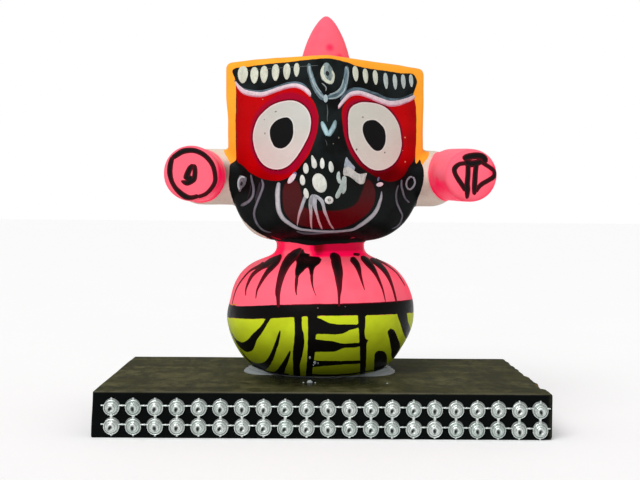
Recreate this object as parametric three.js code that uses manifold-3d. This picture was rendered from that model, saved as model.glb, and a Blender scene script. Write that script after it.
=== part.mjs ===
// Painted temple-icon figure on a black wooden plinth with a two-row rhinestone trim.
// Millimetres, +Z up, the face looks along -Y. The origin is the middle of the plinth's underside.
import * as THREE from 'three';
import { mergeVertices } from 'three/addons/utils/BufferGeometryUtils.js';
import Module from 'manifold-3d';

const wasm = await Module();
wasm.setup();

// Plinth
const PLINTH_WIDTH = 105;
const PLINTH_DEPTH = 58;
const PLINTH_HEIGHT = 10.4;
const PLINTH_CORNER_RADIUS = 0.7;
const PLINTH_EDGE_BEVEL = 0.3;
const CHIP_CENTRE_Y = -19;
const CHIP_LENGTH = 13;
const CHIP_DEPTH = 1.1;
const CHIP_SIDES = 5;
const CHIP_TURN = 0.4;
const CHIP_FLATNESS = 0.7;
const CHIP_OFFSET = new THREE.Vector2(0.3, 0.1);

// Glue between plinth and figure
const GLUE_THICKNESS = 0.6;
const GLUE_SPREAD = 1.2;
const GLUE_FRONT_TONGUE = 3.2;
const GLUE_TONGUE_HALF_ANGLE = 1.1;
const GLUE_LOBE_SPREAD = 1.6;
const GLUE_LOBE_HEIGHT = 1.1;
const GLUE_LOBES = [
  { degrees: -158, halfAngle: 0.42 },
  { degrees: -24, halfAngle: 0.5 },
];
const GLUE_RIPPLE = 0.25;
const GLUE_RIPPLES = 5;
const GLUE_FEATHER = 0.9;
const GLUE_CLEARANCE = 0.3;
const GLUE_SIDES = 40;

// Figure, one casting: round body, neck, folded head, two bent arms and a crest
const FIGURE_BASE_Z = PLINTH_HEIGHT + GLUE_THICKNESS;
const BODY_AXIS = new THREE.Vector2(-0.4, 8.5);
const FOOT_RADIUS = 17.4;
const FOOT_ROUNDING = 0.5;
const BELLY_RADIUS = 24.2;
const BELLY_Z = 25;
const COLLAR_RADIUS = 13;
const COLLAR_Z = 40.2;
const FLANK = [
  [FOOT_RADIUS, FIGURE_BASE_Z + FOOT_ROUNDING],
  [18.9, 13],
  [20.9, 15.5],
  [23.3, 20.3],
  [BELLY_RADIUS, BELLY_Z],
  [23.4, 30.8],
  [21.2, 35],
  [17.9, 38],
  [COLLAR_RADIUS, COLLAR_Z],
];
const FLANK_STEPS = 15;
const NECK_RADIUS = 11.3;
const NECK_FLARE = 0.6;
const NECK_TOP_Z = 49;
const NECK_TOP_SHARE = 0.7;
const NECK_LEAN = new THREE.Vector2(-0.4, -2);
const NECK_DEPTH_RATIO = 0.86;
const BODY_SIDES = 40;

const HEAD_CENTRE_X = 0.3;
const HEAD_HALF_WIDTH = 25.1;
const HEAD_TOP_Z = 89.15;
const HEAD_TOP_SLOPE = -0.0245;
const HEAD_CHEEK_Z = 60.1;
const HEAD_CHIN_Z = 43.9;
const HEAD_CHIN_SHIFT = -1.1;
const HEAD_CHIN_FALLS = [0.99, 0.97, 0.93, 0.86, 0.76, 0.62, 0.45, 0.25];
const HEAD_CHIN_WIDTH_POWERS = [1.3, 0.195];
const HEAD_CHIN_FRONT_POWERS = [2.2, 0.45];
const HEAD_CHIN_BACK_POWERS = [4, 0.25];
const HEAD_RIDGE_Y = -16.5;
const HEAD_CORNER_Y = 1.2;
const HEAD_MIDDLE_Y = 3.7;
const HEAD_SIDE_BACK_Y = 9;
const HEAD_BACK_Y = 17;
const HEAD_BACK_SQUARENESS = 0.75;
const HEAD_RIDGE_X = 0.3;
const HEAD_ARRIS_RADIUS = 2.3;
const HEAD_ARRIS_STEP = 0.4;
const HEAD_TOP_ROUNDING = 1.8;
const HEAD_FACE_STEPS = 4;
const HEAD_SIDE_STEPS = 3;

const ARM_ROOT_RADIUS = 7.2;
const ARM_ROOT_EDGE = 0.72;
const ARM_ROOT_BURIED_X = 12.55;
const ARM_ROOT_Z = 60.35;
const ARM_ROOT_Y = 6.8;
const FOREARM_Z = 60.5;
const LEFT_ARM = { rootEndX: -31, elbow: [-31.3, 5.5], hand: [-31.3, -17], radius: 6.6, edgeRadius: 0.7 };
const RIGHT_ARM = { rootEndX: 28, elbow: [32.6, 3.5], hand: [35.3, -17], radius: 6.35, edgeRadius: 1.5 };
const ARM_SIDES = 20;

const CREST_CENTRE = new THREE.Vector2(0.6, 4);
const CREST_BASE_RADIUS = 6.9;
const CREST_BASE_Z = 86;
const CREST_TIP_Z = 101.5;
const CREST_POWER = 1.55;
const CREST_STEPS = 7;
const CREST_SIDES = 20;

// Rhinestone trim, one moulded net of studs and links
const STUD_COLUMNS = 21;
const STUD_PITCH = 4.905;
const STUD_RADIUS = 1.8;
const STUD_HEIGHT = 1.25;
const STUD_GIRDLE_HEIGHT = 0.4375;
const STUD_TABLE_RADIUS = 0.81;
const STUD_SIDES = 8;
const TRIM_CENTRE_X = 0.9;
const TRIM_ROWS = [
  { z: 6.95, slope: -0.0044 },
  { z: 2.52, slope: -0.007 },
];
const LINK_THICKNESS = 0.4;
const LINK_RISE = 0.38;
const TIE_WIDTH = 0.8;
const LINK_OVERLAP = 0.02;
const NUB_LENGTH = 0.55;
const LOWER_NUB_LENGTH = 0.165;

/** Turns a closed three.js geometry into a solid that can be joined and cut. */
function solidFrom(geometry) {
  const bare = geometry.clone();
  bare.deleteAttribute('normal');
  bare.deleteAttribute('uv');
  const merged = mergeVertices(bare, 1e-4);
  return new wasm.Manifold(new wasm.Mesh({
    numProp: 3,
    vertProperties: new Float32Array(merged.attributes.position.array),
    triVerts: new Uint32Array(merged.index.array),
  }));
}

/** Turns a joined solid back into a three.js geometry. */
function geometryFrom(solid) {
  const mesh = solid.getMesh();
  const geometry = new THREE.BufferGeometry();
  geometry.setAttribute('position', new THREE.BufferAttribute(new Float32Array(mesh.vertProperties), 3));
  geometry.setIndex(new THREE.BufferAttribute(new Uint32Array(mesh.triVerts), 1));
  geometry.computeVertexNormals();
  return geometry;
}

/** Joins a list of geometries into one solid. */
function joined(geometries) {
  return geometries.map(solidFrom).reduce((sum, next) => sum.add(next));
}

/** A turned form about +Z from [radius, height] pairs that start and end on the axis. */
function turned(profile, segments) {
  const points = profile.map(([radius, height]) => new THREE.Vector2(radius, height));
  return new THREE.LatheGeometry(points, segments).rotateX(Math.PI / 2);
}

/** A closed skin over rings of equal length, listed from the bottom up and anticlockwise from above. */
function lofted(rings) {
  const count = rings[0].length;
  const positions = [];
  const indices = [];
  const addPoint = (point) => positions.push(point.x, point.y, point.z) / 3 - 1;
  const middleOf = (ring) => ring
    .reduce((sum, point) => sum.add(point), new THREE.Vector3())
    .divideScalar(count);
  rings.flat().forEach(addPoint);
  for (let level = 0; level + 1 < rings.length; level += 1) {
    for (let side = 0; side < count; side += 1) {
      const next = (side + 1) % count;
      const a = level * count + side;
      const b = level * count + next;
      indices.push(a, b, b + count, a, b + count, a + count);
    }
  }
  const foot = addPoint(middleOf(rings[0]));
  const crown = addPoint(middleOf(rings[rings.length - 1]));
  const last = (rings.length - 1) * count;
  for (let side = 0; side < count; side += 1) {
    const next = (side + 1) % count;
    indices.push(foot, next, side);
    indices.push(crown, last + side, last + next);
  }
  const geometry = new THREE.BufferGeometry();
  geometry.setAttribute('position', new THREE.Float32BufferAttribute(positions, 3));
  geometry.setIndex(indices);
  return geometry;
}

/** Samples a smooth curve through [radius, height] pairs. */
function smoothProfile(pairs, steps) {
  const curve = new THREE.SplineCurve(pairs.map(([radius, height]) => new THREE.Vector2(radius, height)));
  return curve.getPoints(steps).map((point) => [point.x, point.y]);
}

/** The wooden block, with rounded front corners and a torn place on its right upper edge. */
function makePlinth() {
  const halfWidth = PLINTH_WIDTH / 2 - PLINTH_EDGE_BEVEL;
  const low = PLINTH_EDGE_BEVEL;
  const high = PLINTH_HEIGHT - PLINTH_EDGE_BEVEL;
  const radius = PLINTH_CORNER_RADIUS - PLINTH_EDGE_BEVEL;
  const outline = new THREE.Shape();
  outline.moveTo(-halfWidth + radius, low);
  outline.lineTo(halfWidth - radius, low);
  outline.absarc(halfWidth - radius, low + radius, radius, -Math.PI / 2, 0);
  outline.lineTo(halfWidth, high - radius);
  outline.absarc(halfWidth - radius, high - radius, radius, 0, Math.PI / 2);
  outline.lineTo(-halfWidth + radius, high);
  outline.absarc(-halfWidth + radius, high - radius, radius, Math.PI / 2, Math.PI);
  outline.lineTo(-halfWidth, low + radius);
  outline.absarc(-halfWidth + radius, low + radius, radius, Math.PI, Math.PI * 1.5);
  const block = new THREE.ExtrudeGeometry(outline, {
    depth: PLINTH_DEPTH - 2 * PLINTH_EDGE_BEVEL,
    bevelThickness: PLINTH_EDGE_BEVEL,
    bevelSize: PLINTH_EDGE_BEVEL,
    bevelSegments: 2,
    curveSegments: 4,
  });
  block.rotateX(Math.PI / 2);
  block.translate(0, PLINTH_DEPTH / 2 - PLINTH_EDGE_BEVEL, 0);

  const chip = new THREE.CylinderGeometry(CHIP_DEPTH, CHIP_DEPTH, CHIP_LENGTH, CHIP_SIDES);
  chip.rotateY(CHIP_TURN);
  chip.scale(1, 1, CHIP_FLATNESS);
  chip.translate(PLINTH_WIDTH / 2 + CHIP_OFFSET.x, CHIP_CENTRE_Y, PLINTH_HEIGHT + CHIP_OFFSET.y);
  return geometryFrom(solidFrom(block).subtract(solidFrom(chip)));
}

/** How much a lobe that points along one angle counts at another. */
function lobe(angle, degrees, halfAngle) {
  const turn = angle - THREE.MathUtils.degToRad(degrees);
  const away = Math.abs(Math.atan2(Math.sin(turn), Math.cos(turn)));
  return away < halfAngle ? Math.cos((away / halfAngle) * (Math.PI / 2)) ** 2 : 0;
}

/** The mounds' share at an angle, their half angles widened by a factor. */
function mounds(angle, widening) {
  return GLUE_LOBES.reduce(
    (sum, { degrees, halfAngle }) => sum + lobe(angle, degrees, halfAngle * widening),
    0,
  );
}

/** The hardened pad of clear glue, squeezed out round the foot with a mound on either side. */
function makeGlue() {
  const rise = (angle) => GLUE_LOBE_HEIGHT * mounds(angle, 1);
  const reach = (angle) => FOOT_RADIUS + GLUE_SPREAD
    + GLUE_FRONT_TONGUE * lobe(angle, -90, GLUE_TONGUE_HALF_ANGLE)
    + GLUE_LOBE_SPREAD * mounds(angle, 1.2)
    + GLUE_RIPPLE * Math.sin(angle * GLUE_RIPPLES + 0.7);
  const ringAt = (radiusOf, heightOf) => Array.from({ length: GLUE_SIDES }, (_, index) => {
    const angle = (index / GLUE_SIDES) * Math.PI * 2;
    const radius = radiusOf(angle);
    return new THREE.Vector3(
      BODY_AXIS.x + radius * Math.cos(angle),
      BODY_AXIS.y + radius * Math.sin(angle),
      heightOf(angle),
    );
  });
  const top = FIGURE_BASE_Z;
  const flankRadius = (angle) => FOOT_RADIUS + GLUE_CLEARANCE + 0.25 + 0.75 * rise(angle);
  return lofted([
    ringAt((angle) => reach(angle) + GLUE_FEATHER, () => PLINTH_HEIGHT),
    ringAt((angle) => reach(angle) + GLUE_FEATHER * 0.65, () => PLINTH_HEIGHT + GLUE_THICKNESS / 2),
    ringAt((angle) => reach(angle), (angle) => top - 0.05 + 0.5 * rise(angle)),
    ringAt(flankRadius, (angle) => top + rise(angle)),
    ringAt((angle) => flankRadius(angle) - 0.05, () => top),
    ringAt(() => FOOT_RADIUS * 0.5, () => top),
  ]);
}

/** Round belly and flared neck, turned about an upright axis, the neck leaning a little forward. */
function makeBody() {
  const neck = [
    [NECK_RADIUS + NECK_FLARE, COLLAR_Z + 0.7],
    [NECK_RADIUS, COLLAR_Z + 1.8],
    [NECK_RADIUS, COLLAR_Z + 4.6],
    [NECK_RADIUS * NECK_TOP_SHARE, NECK_TOP_Z],
  ];
  const profile = [
    [0, FIGURE_BASE_Z],
    [FOOT_RADIUS - FOOT_ROUNDING, FIGURE_BASE_Z],
    ...smoothProfile(FLANK, FLANK_STEPS),
    ...neck,
    [0, NECK_TOP_Z],
  ];
  const body = turned(profile, BODY_SIDES);
  const position = body.attributes.position;
  for (let index = 0; index < position.count; index += 1) {
    const height = position.getZ(index);
    const lean = THREE.MathUtils.smoothstep(height, BELLY_Z, COLLAR_Z + 2);
    const depth = THREE.MathUtils.lerp(1, NECK_DEPTH_RATIO, lean);
    position.setX(index, position.getX(index) + BODY_AXIS.x + NECK_LEAN.x * lean);
    position.setY(index, position.getY(index) * depth + BODY_AXIS.y + NECK_LEAN.y * lean);
  }
  return body;
}

/** One level of the head: a folded front, two short sides and a bowed back, with round arrises. */
function headRing({ height, width, front, back, shift, inset }) {
  const radius = HEAD_ARRIS_RADIUS;
  const side = HEAD_HALF_WIDTH - radius;
  const sideEndY = HEAD_SIDE_BACK_Y - radius;
  const bow = [0, 22, 45, 68, 90, 112, 135, 158, 180].map((degrees) => {
    const angle = THREE.MathUtils.degToRad(degrees);
    return new THREE.Vector2(
      side * Math.sign(Math.cos(angle)) * Math.abs(Math.cos(angle)) ** HEAD_BACK_SQUARENESS,
      sideEndY + (HEAD_BACK_Y - HEAD_SIDE_BACK_Y) * Math.sin(angle) ** HEAD_BACK_SQUARENESS,
    );
  });
  const core = [
    new THREE.Vector2(HEAD_RIDGE_X, HEAD_RIDGE_Y + radius),
    new THREE.Vector2(side, HEAD_CORNER_Y + radius),
    ...bow,
    new THREE.Vector2(-side, HEAD_CORNER_Y + radius),
  ];
  const edgeNormal = (from, to) => Math.atan2(-(to.x - from.x), to.y - from.y);
  const ring = [];
  core.forEach((corner, index) => {
    const before = core[(index + core.length - 1) % core.length];
    const after = core[(index + 1) % core.length];
    const start = edgeNormal(before, corner);
    let end = edgeNormal(corner, after);
    if (end < start) {
      end += Math.PI * 2;
    }
    const arcSteps = Math.max(1, Math.round((end - start) / HEAD_ARRIS_STEP));
    for (let step = 0; step <= arcSteps; step += 1) {
      const angle = start + ((end - start) * step) / arcSteps;
      ring.push(new THREE.Vector2(
        corner.x + (radius - inset) * Math.cos(angle),
        corner.y + (radius - inset) * Math.sin(angle),
      ));
    }
    if (index === 0 || index === core.length - 1) {
      const leave = ring[ring.length - 1].clone();
      const edge = after.clone().sub(corner);
      for (let step = 1; step < HEAD_FACE_STEPS; step += 1) {
        ring.push(leave.clone().addScaledVector(edge, step / HEAD_FACE_STEPS));
      }
    }
  });
  return ring.map((point) => new THREE.Vector3(
    HEAD_CENTRE_X + shift + point.x * width,
    HEAD_MIDDLE_Y + (point.y - HEAD_MIDDLE_Y) * (point.y < HEAD_MIDDLE_Y ? front : back),
    height + HEAD_TOP_SLOPE * point.x * THREE.MathUtils.smoothstep(height, HEAD_CHEEK_Z, HEAD_TOP_Z),
  ));
}

/** How full the chin still is at a share of its fall, by a rounding law with two powers. */
function fullness(fall, [inner, outer]) {
  return (1 - fall ** inner) ** outer;
}

/** The head: straight sides above the cheeks, a full round chin below and a soft upper arris. */
function makeHead() {
  const levels = HEAD_CHIN_FALLS.map((fall) => ({
    height: THREE.MathUtils.lerp(HEAD_CHEEK_Z, HEAD_CHIN_Z, fall),
    width: fullness(fall, HEAD_CHIN_WIDTH_POWERS),
    front: fullness(fall, HEAD_CHIN_FRONT_POWERS),
    back: fullness(fall, HEAD_CHIN_BACK_POWERS),
    shift: HEAD_CHIN_SHIFT * fall ** 3,
    inset: 0,
  }));
  const upright = { width: 1, front: 1, back: 1, shift: 0 };
  const shoulder = HEAD_TOP_Z - HEAD_TOP_ROUNDING;
  for (let step = 0; step <= HEAD_SIDE_STEPS; step += 1) {
    const height = THREE.MathUtils.lerp(HEAD_CHEEK_Z, shoulder, step / HEAD_SIDE_STEPS);
    levels.push({ ...upright, height, inset: 0 });
  }
  for (const degrees of [30, 60, 90]) {
    const angle = THREE.MathUtils.degToRad(degrees);
    levels.push({
      ...upright,
      height: shoulder + HEAD_TOP_ROUNDING * Math.sin(angle),
      inset: HEAD_TOP_ROUNDING * (1 - Math.cos(angle)),
    });
  }
  return lofted(levels.map(headRing));
}

/** A rod about +Z with a round lower end at the origin and a flat upper end with a softened edge. */
function makeRod({ radius, length, edgeRadius }) {
  const roundEnd = [-90, -60, -30, 0].map((degrees) => {
    const angle = THREE.MathUtils.degToRad(degrees);
    return [radius * Math.cos(angle), radius * Math.sin(angle)];
  });
  const flatEnd = [0, 45, 90].map((degrees) => {
    const angle = THREE.MathUtils.degToRad(degrees);
    return [
      radius - edgeRadius * (1 - Math.cos(angle)),
      length - edgeRadius * (1 - Math.sin(angle)),
    ];
  });
  roundEnd[0][0] = 0;
  return turned([...roundEnd, ...flatEnd, [0, length]], ARM_SIDES);
}

/** A bent arm: a stout round-ended root out of the head's side and a forearm with a flat hand end. */
function makeArm({ rootEndX, elbow, hand, radius, edgeRadius }) {
  const side = Math.sign(rootEndX);
  const root = makeRod({
    radius: ARM_ROOT_RADIUS,
    length: Math.abs(rootEndX) - ARM_ROOT_BURIED_X,
    edgeRadius: ARM_ROOT_EDGE,
  });
  root.rotateY((-side * Math.PI) / 2);
  root.translate(rootEndX, ARM_ROOT_Y, ARM_ROOT_Z);

  const reach = new THREE.Vector2(hand[0] - elbow[0], hand[1] - elbow[1]);
  const forearm = makeRod({ radius, length: reach.length(), edgeRadius });
  forearm.rotateX(Math.PI / 2);
  forearm.rotateZ(Math.atan2(reach.y, reach.x) + Math.PI / 2);
  forearm.translate(elbow[0], elbow[1], FOREARM_Z);
  return [root, forearm];
}

/** The blunt pointed crest on top of the head. */
function makeCrest() {
  const flank = Array.from({ length: CREST_STEPS }, (_, index) => {
    const rise = Math.sin(((index / CREST_STEPS) * Math.PI) / 2);
    return [
      CREST_BASE_RADIUS * (1 - rise ** CREST_POWER) ** (1 / CREST_POWER),
      CREST_BASE_Z + (CREST_TIP_Z - CREST_BASE_Z) * rise,
    ];
  });
  const crest = turned([[0, CREST_BASE_Z], ...flank, [0, CREST_TIP_Z]], CREST_SIDES);
  return crest.translate(CREST_CENTRE.x, CREST_CENTRE.y, 0);
}

/** Body, head, arms and crest joined as the one casting that they are. */
function makeFigure() {
  return geometryFrom(joined([
    makeBody(),
    makeHead(),
    ...makeArm(LEFT_ARM),
    ...makeArm(RIGHT_ARM),
    makeCrest(),
  ]));
}

/** Height of a trim row at a place along the plinth. */
function rowHeight(row, x) {
  return row.z + row.slope * (x - TRIM_CENTRE_X);
}

/** A small box on the plinth's front face, given by its middle and its size across the face. */
function frontBar(x, z, width, height) {
  const bar = new THREE.BoxGeometry(width, LINK_THICKNESS, height);
  return bar.translate(x, -PLINTH_DEPTH / 2 - LINK_THICKNESS / 2, z);
}

/** The net of faceted studs, with its links, its ties between the rows and its cut nubs. */
function makeTrim() {
  const stud = turned([
    [0, 0],
    [STUD_RADIUS, 0],
    [STUD_RADIUS, STUD_GIRDLE_HEIGHT],
    [STUD_TABLE_RADIUS, STUD_HEIGHT],
    [0, STUD_HEIGHT],
  ], STUD_SIDES).rotateX(Math.PI / 2);
  const pieces = [];
  const [upper, lower] = TRIM_ROWS;
  for (let column = 0; column < STUD_COLUMNS; column += 1) {
    const x = TRIM_CENTRE_X + (column - (STUD_COLUMNS - 1) / 2) * STUD_PITCH;
    for (const row of TRIM_ROWS) {
      const z = rowHeight(row, x);
      const outer = STUD_RADIUS + NUB_LENGTH;
      const start = x - (column === 0 ? outer : STUD_PITCH / 2 + LINK_OVERLAP);
      const end = x + (column === STUD_COLUMNS - 1 ? outer : STUD_PITCH / 2);
      pieces.push(stud.clone().translate(x, -PLINTH_DEPTH / 2, z));
      pieces.push(frontBar((start + end) / 2, z + LINK_RISE, end - start, LINK_THICKNESS));
    }
    const top = rowHeight(upper, x) + STUD_RADIUS + NUB_LENGTH;
    const bottom = rowHeight(lower, x) - STUD_RADIUS - LOWER_NUB_LENGTH;
    pieces.push(frontBar(x, (top + bottom) / 2, TIE_WIDTH, top - bottom));
  }
  return geometryFrom(joined(pieces));
}

/** Adds one named piece to the object. */
function addPiece(group, name, geometry, finish) {
  const mesh = new THREE.Mesh(geometry, new THREE.MeshStandardMaterial(finish));
  mesh.name = name;
  group.add(mesh);
}

const object = new THREE.Group();
addPiece(object, 'plinth', makePlinth(), { color: 0x22211b, roughness: 0.55, metalness: 0 });
addPiece(object, 'glue_bead', makeGlue(), {
  color: 0xc4d0d6, roughness: 0.15, metalness: 0, transparent: true, opacity: 0.5,
});
addPiece(object, 'figure', makeFigure(), { color: 0xff6480, roughness: 0.4, metalness: 0 });
addPiece(object, 'rhinestone_trim', makeTrim(), { color: 0xcfdad4, roughness: 0.15, metalness: 0.8 });

export default object;
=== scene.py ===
"""Looks of a hand-painted jagannath figure on a black wooden plinth with a rhinestone trim.

The file is laid out as an add-on. Shapes are worked out in millimetres, in the frame of the packed
part: +Z up, the face looks along -Y, and the origin is the middle of the plinth's underside.
"""

import itertools
import math

import bmesh
import bpy
import numpy as np
from mathutils import Matrix
from mathutils import Vector


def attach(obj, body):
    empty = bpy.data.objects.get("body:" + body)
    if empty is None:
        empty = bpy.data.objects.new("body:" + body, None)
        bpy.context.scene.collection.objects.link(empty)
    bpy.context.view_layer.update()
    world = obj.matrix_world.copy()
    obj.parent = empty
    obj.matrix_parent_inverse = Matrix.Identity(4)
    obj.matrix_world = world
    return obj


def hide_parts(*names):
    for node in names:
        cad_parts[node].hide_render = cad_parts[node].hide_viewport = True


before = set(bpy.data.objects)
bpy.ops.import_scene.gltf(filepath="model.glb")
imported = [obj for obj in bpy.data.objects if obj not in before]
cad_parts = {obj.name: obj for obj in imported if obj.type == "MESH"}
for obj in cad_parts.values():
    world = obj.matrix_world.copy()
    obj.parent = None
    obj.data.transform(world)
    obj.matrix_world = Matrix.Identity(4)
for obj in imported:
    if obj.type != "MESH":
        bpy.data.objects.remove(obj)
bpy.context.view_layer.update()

bl_info = {
    "name": "Painted Figure on a Plinth",
    "version": (1, 0, 0),
    "blender": (4, 5, 0),
    "location": "3D Viewport > Sidebar > Painted Figure",
    "description": "Builds a hand-painted temple-icon figure, its plinth, glue and rhinestone trim",
    "category": "Object",
}

MM = 0.001

# Shapes, in millimetres

PLINTH_SIZE = (105.0, 58.0, 10.7)
PLINTH_FRONT_Y = -PLINTH_SIZE[1] / 2
PLINTH_TOP_Z = PLINTH_SIZE[2]
CHIP_Y = -17.5
CHIP_HALF_LENGTHS = (5.2, 3.0)
RAG_DEPTHS = (0.55, 0.22)
RIGHT_EDGE_WEAR = 0.65
PLINTH_NET = (1.3, 1.1, 0.6)

FOOT_Z = 11.0
FOOT_RADIUS = 17.4
BODY_AXIS = (-0.4, 8.5)
BODY_SWAY = [
    (11.0, -0.65), (17.0, -0.65), (21.5, -0.4), (25.0, -0.3), (29.0, 0.0), (32.0, -0.1), (36.0, -0.3),
    (42.2, -0.42),
]
BODY_LEAN = -2.0
BODY_LEAN_HEIGHTS = (25.0, 42.2)
NECK_FLATNESS = 0.86
FLANK = [
    (17.1, 11.5), (18.8, 13.0), (20.8, 15.5), (23.3, 20.3), (24.25, 25.0), (23.2, 30.8), (21.1, 35.0),
    (17.9, 38.0), (13.0, 40.2),
]
NECK = [(11.9, 40.9), (11.3, 42.0), (11.3, 44.8), (7.9, 49.0)]

HEAD_X = 0.3
HEAD_HALF_WIDTH = 25.1
HEAD_TOP_Z = 88.95
HEAD_TOP_SLOPE = -0.031
HEAD_TOP_ROUNDING = 1.5
CHEEK_Z = 60.1
CHIN_Z = 43.9
CHIN_SHIFT = -1.1
ARRIS_RADIUS = 2.3
RIDGE = (0.3, -16.5)
CORNER_Y = 1.2
MIDDLE_Y = 3.7
SIDE_BACK_Y = 9.0
BACK_Y = 17.0

ARM_ROOT_RADIUS = (7.2, 7.2)
ARM_ROOT_EDGE = 0.72
ARM_ROOT_AXIS = (6.8, 60.35)
LEFT_ROOT_END = -31.0
RIGHT_ROOT_END = 28.0
BURIED_ROOT_END = 12.55
LEFT_ELBOW = (-31.3, 5.5, 60.5)
LEFT_HAND = (-31.3, -17.0, 60.5)
LEFT_ARM_RADIUS = (6.6, 6.6)
LEFT_HAND_EDGE = 0.7
RIGHT_ELBOW = (32.95, 3.5, 61.25)
RIGHT_HAND = (35.3, -17.0, 60.5)
RIGHT_ARM_RADIUS = (6.65, 6.3)
RIGHT_HAND_EDGE = 1.5

CREST_AXIS = (0.6, 4.0)
CREST_RADIUS = 6.78
CREST_FOOT_Z = 86.0
CREST_TIP_Z = 101.5
CREST_POWER = 1.55

BODY_SIDES = 120
ROD_SIDES = 72
BODY_LIMIT_Z = 52.0
NECK_TOP_Z = 43.9
HAND_MIDDLE_Z = 60.5
HAND_BACK_Y = -15.2
CREST_PINK_Z = 88.5
# Distances to painted edges are kept only up to this
FAR = 9.0

GLUE_SPREAD = 0.2
GLUE_TONGUE = 0.25
GLUE_MOUND_HEIGHT = 1.0
GLUE_MOUND_SPREAD = 2.3
GLUE_MOUNDS = [(-158.0, 0.42), (-24.0, 0.5)]
GLUE_GAP = (-94.0, 1.25)
GLUE_GAP_EDGES = (0.1, 0.45)
GLUE_GAP_DEPTH = 2.6
GLUE_SUNK = 0.18
GLUE_SIDES = 144
SPLASH_SIDES = 18

# Painted areas of the face, (x, z)

FACE_BLACK = [
    (-22.9, 87.2), (-18.6, 87.6), (-13.3, 87.8), (-8.0, 87.8), (-4.6, 87.9), (0.9, 87.9), (2.8, 87.8),
    (6.1, 87.3), (7.8, 86.8), (11.3, 86.5), (14.9, 86.4), (19.4, 86.2), (22.4, 86.4), (23.6, 84.6),
    (23.0, 82.4), (22.5, 80.8), (23.2, 79.0), (23.5, 75.0), (23.5, 70.0), (23.3, 65.2), (23.6, 63.8),
    (24.5, 65.0), (24.9, 63.9), (25.3, 62.8), (25.4, 61.1), (25.3, 59.2), (25.0, 57.7), (24.6, 56.4),
    (24.2, 55.2), (24.0, 53.6), (24.2, 51.0), (23.0, 48.0), (20.5, 45.5), (14.0, 42.0), (0.0, 40.0),
    (-9.5, 41.0), (-12.9, 44.1), (-14.6, 45.2), (-16.1, 46.0), (-17.7, 47.0), (-19.0, 48.1),
    (-20.5, 49.6), (-21.5, 51.1), (-22.3, 52.6), (-23.1, 55.2), (-23.5, 57.1), (-23.7, 58.5),
    (-23.5, 61.4), (-23.4, 63.4), (-22.0, 64.4), (-22.0, 68.0), (-22.1, 74.0), (-22.0, 79.7),
    (-22.1, 84.1),
]
ORANGE_BORDER = [
    (-27.0, 93.0), (-27.0, 75.0), (-26.4, 70.0), (-25.6, 68.2), (-25.1, 66.5), (-24.1, 64.9),
    (-23.2, 63.4), (-21.0, 63.0), (0.0, 62.6), (21.0, 62.8), (23.6, 63.4), (24.8, 63.3), (25.9, 64.6),
    (26.8, 65.8), (27.2, 67.4), (26.8, 69.0), (27.2, 75.0), (27.0, 93.0),
]
LEFT_RED = [
    (-22.0, 83.4), (-21.2, 82.4), (-19.8, 81.2), (-17.6, 80.6), (-15.3, 80.3), (-13.2, 80.7),
    (-11.1, 81.3), (-8.9, 81.7), (-7.0, 81.6), (-5.8, 81.1), (-4.4, 80.2), (-3.1, 78.8), (-1.9, 76.6),
    (-1.3, 74.0), (-1.6, 70.7), (-2.4, 68.1), (-3.4, 65.5), (-4.9, 63.4), (-6.4, 61.5), (-7.8, 60.3),
    (-9.8, 59.3), (-11.7, 59.1), (-14.1, 59.4), (-16.4, 60.2), (-18.4, 61.4), (-20.1, 63.0),
    (-21.8, 64.4), (-21.8, 68.0), (-21.9, 74.0), (-21.8, 79.0),
]
RIGHT_RED = [
    (4.3, 75.4), (5.0, 77.5), (6.3, 79.1), (8.0, 80.0), (10.1, 80.0), (12.6, 79.4), (15.5, 78.6),
    (18.4, 78.3), (21.1, 78.9), (22.9, 80.0), (23.3, 75.0), (23.3, 70.0), (23.2, 65.4), (21.8, 63.3),
    (20.2, 60.7), (18.3, 59.5), (16.2, 59.1), (13.8, 59.9), (11.5, 61.0), (9.2, 62.5), (7.3, 64.6),
    (5.8, 67.5), (4.8, 70.8),
]
LEFT_EYE_RING = [
    (-8.2, 80.4), (-5.8, 79.8), (-3.6, 78.4), (-2.0, 76.0), (-1.5, 73.4), (-1.8, 70.5), (-2.8, 67.5),
    (-4.3, 64.9), (-6.2, 62.5), (-8.6, 60.9), (-11.6, 60.7), (-14.3, 61.6), (-16.5, 63.9),
    (-18.0, 67.2), (-18.3, 70.8), (-17.6, 74.2), (-16.1, 76.8), (-13.9, 78.5), (-11.2, 80.05),
]
LEFT_EYE = [
    (-8.0, 78.45), (-6.2, 77.95), (-4.6, 76.8), (-3.6, 75.4), (-3.1, 73.7), (-3.1, 72.2), (-3.5, 70.1),
    (-4.5, 68.0), (-5.6, 66.1), (-6.8, 64.4), (-8.4, 62.8), (-10.1, 62.0), (-11.7, 61.9),
    (-13.6, 62.4), (-15.3, 63.7), (-16.4, 65.5), (-17.2, 67.7), (-17.5, 70.3), (-17.1, 72.5),
    (-16.3, 74.4), (-15.0, 75.9), (-13.1, 77.35), (-10.7, 78.25),
]
RIGHT_EYE = [
    (9.2, 78.15), (7.4, 77.4), (6.3, 76.3), (5.9, 74.6), (5.9, 72.3), (6.1, 69.7), (6.8, 67.7),
    (7.8, 65.9), (9.3, 63.9), (10.7, 62.7), (12.2, 62.0), (14.1, 61.9), (16.1, 62.6), (17.7, 63.8),
    (19.0, 65.8), (19.6, 68.2), (19.4, 70.7), (18.9, 73.0), (17.9, 74.9), (16.4, 76.6), (14.4, 77.8),
    (11.9, 78.25),
]
LEFT_PUPIL = [
    (-9.5, 74.5), (-8.3, 74.2), (-7.5, 73.0), (-7.3, 71.2), (-7.5, 69.5), (-8.5, 67.8), (-10.1, 66.95),
    (-11.8, 67.35), (-12.8, 69.0), (-13.2, 70.8), (-12.9, 72.4), (-11.6, 73.8),
]
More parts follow.
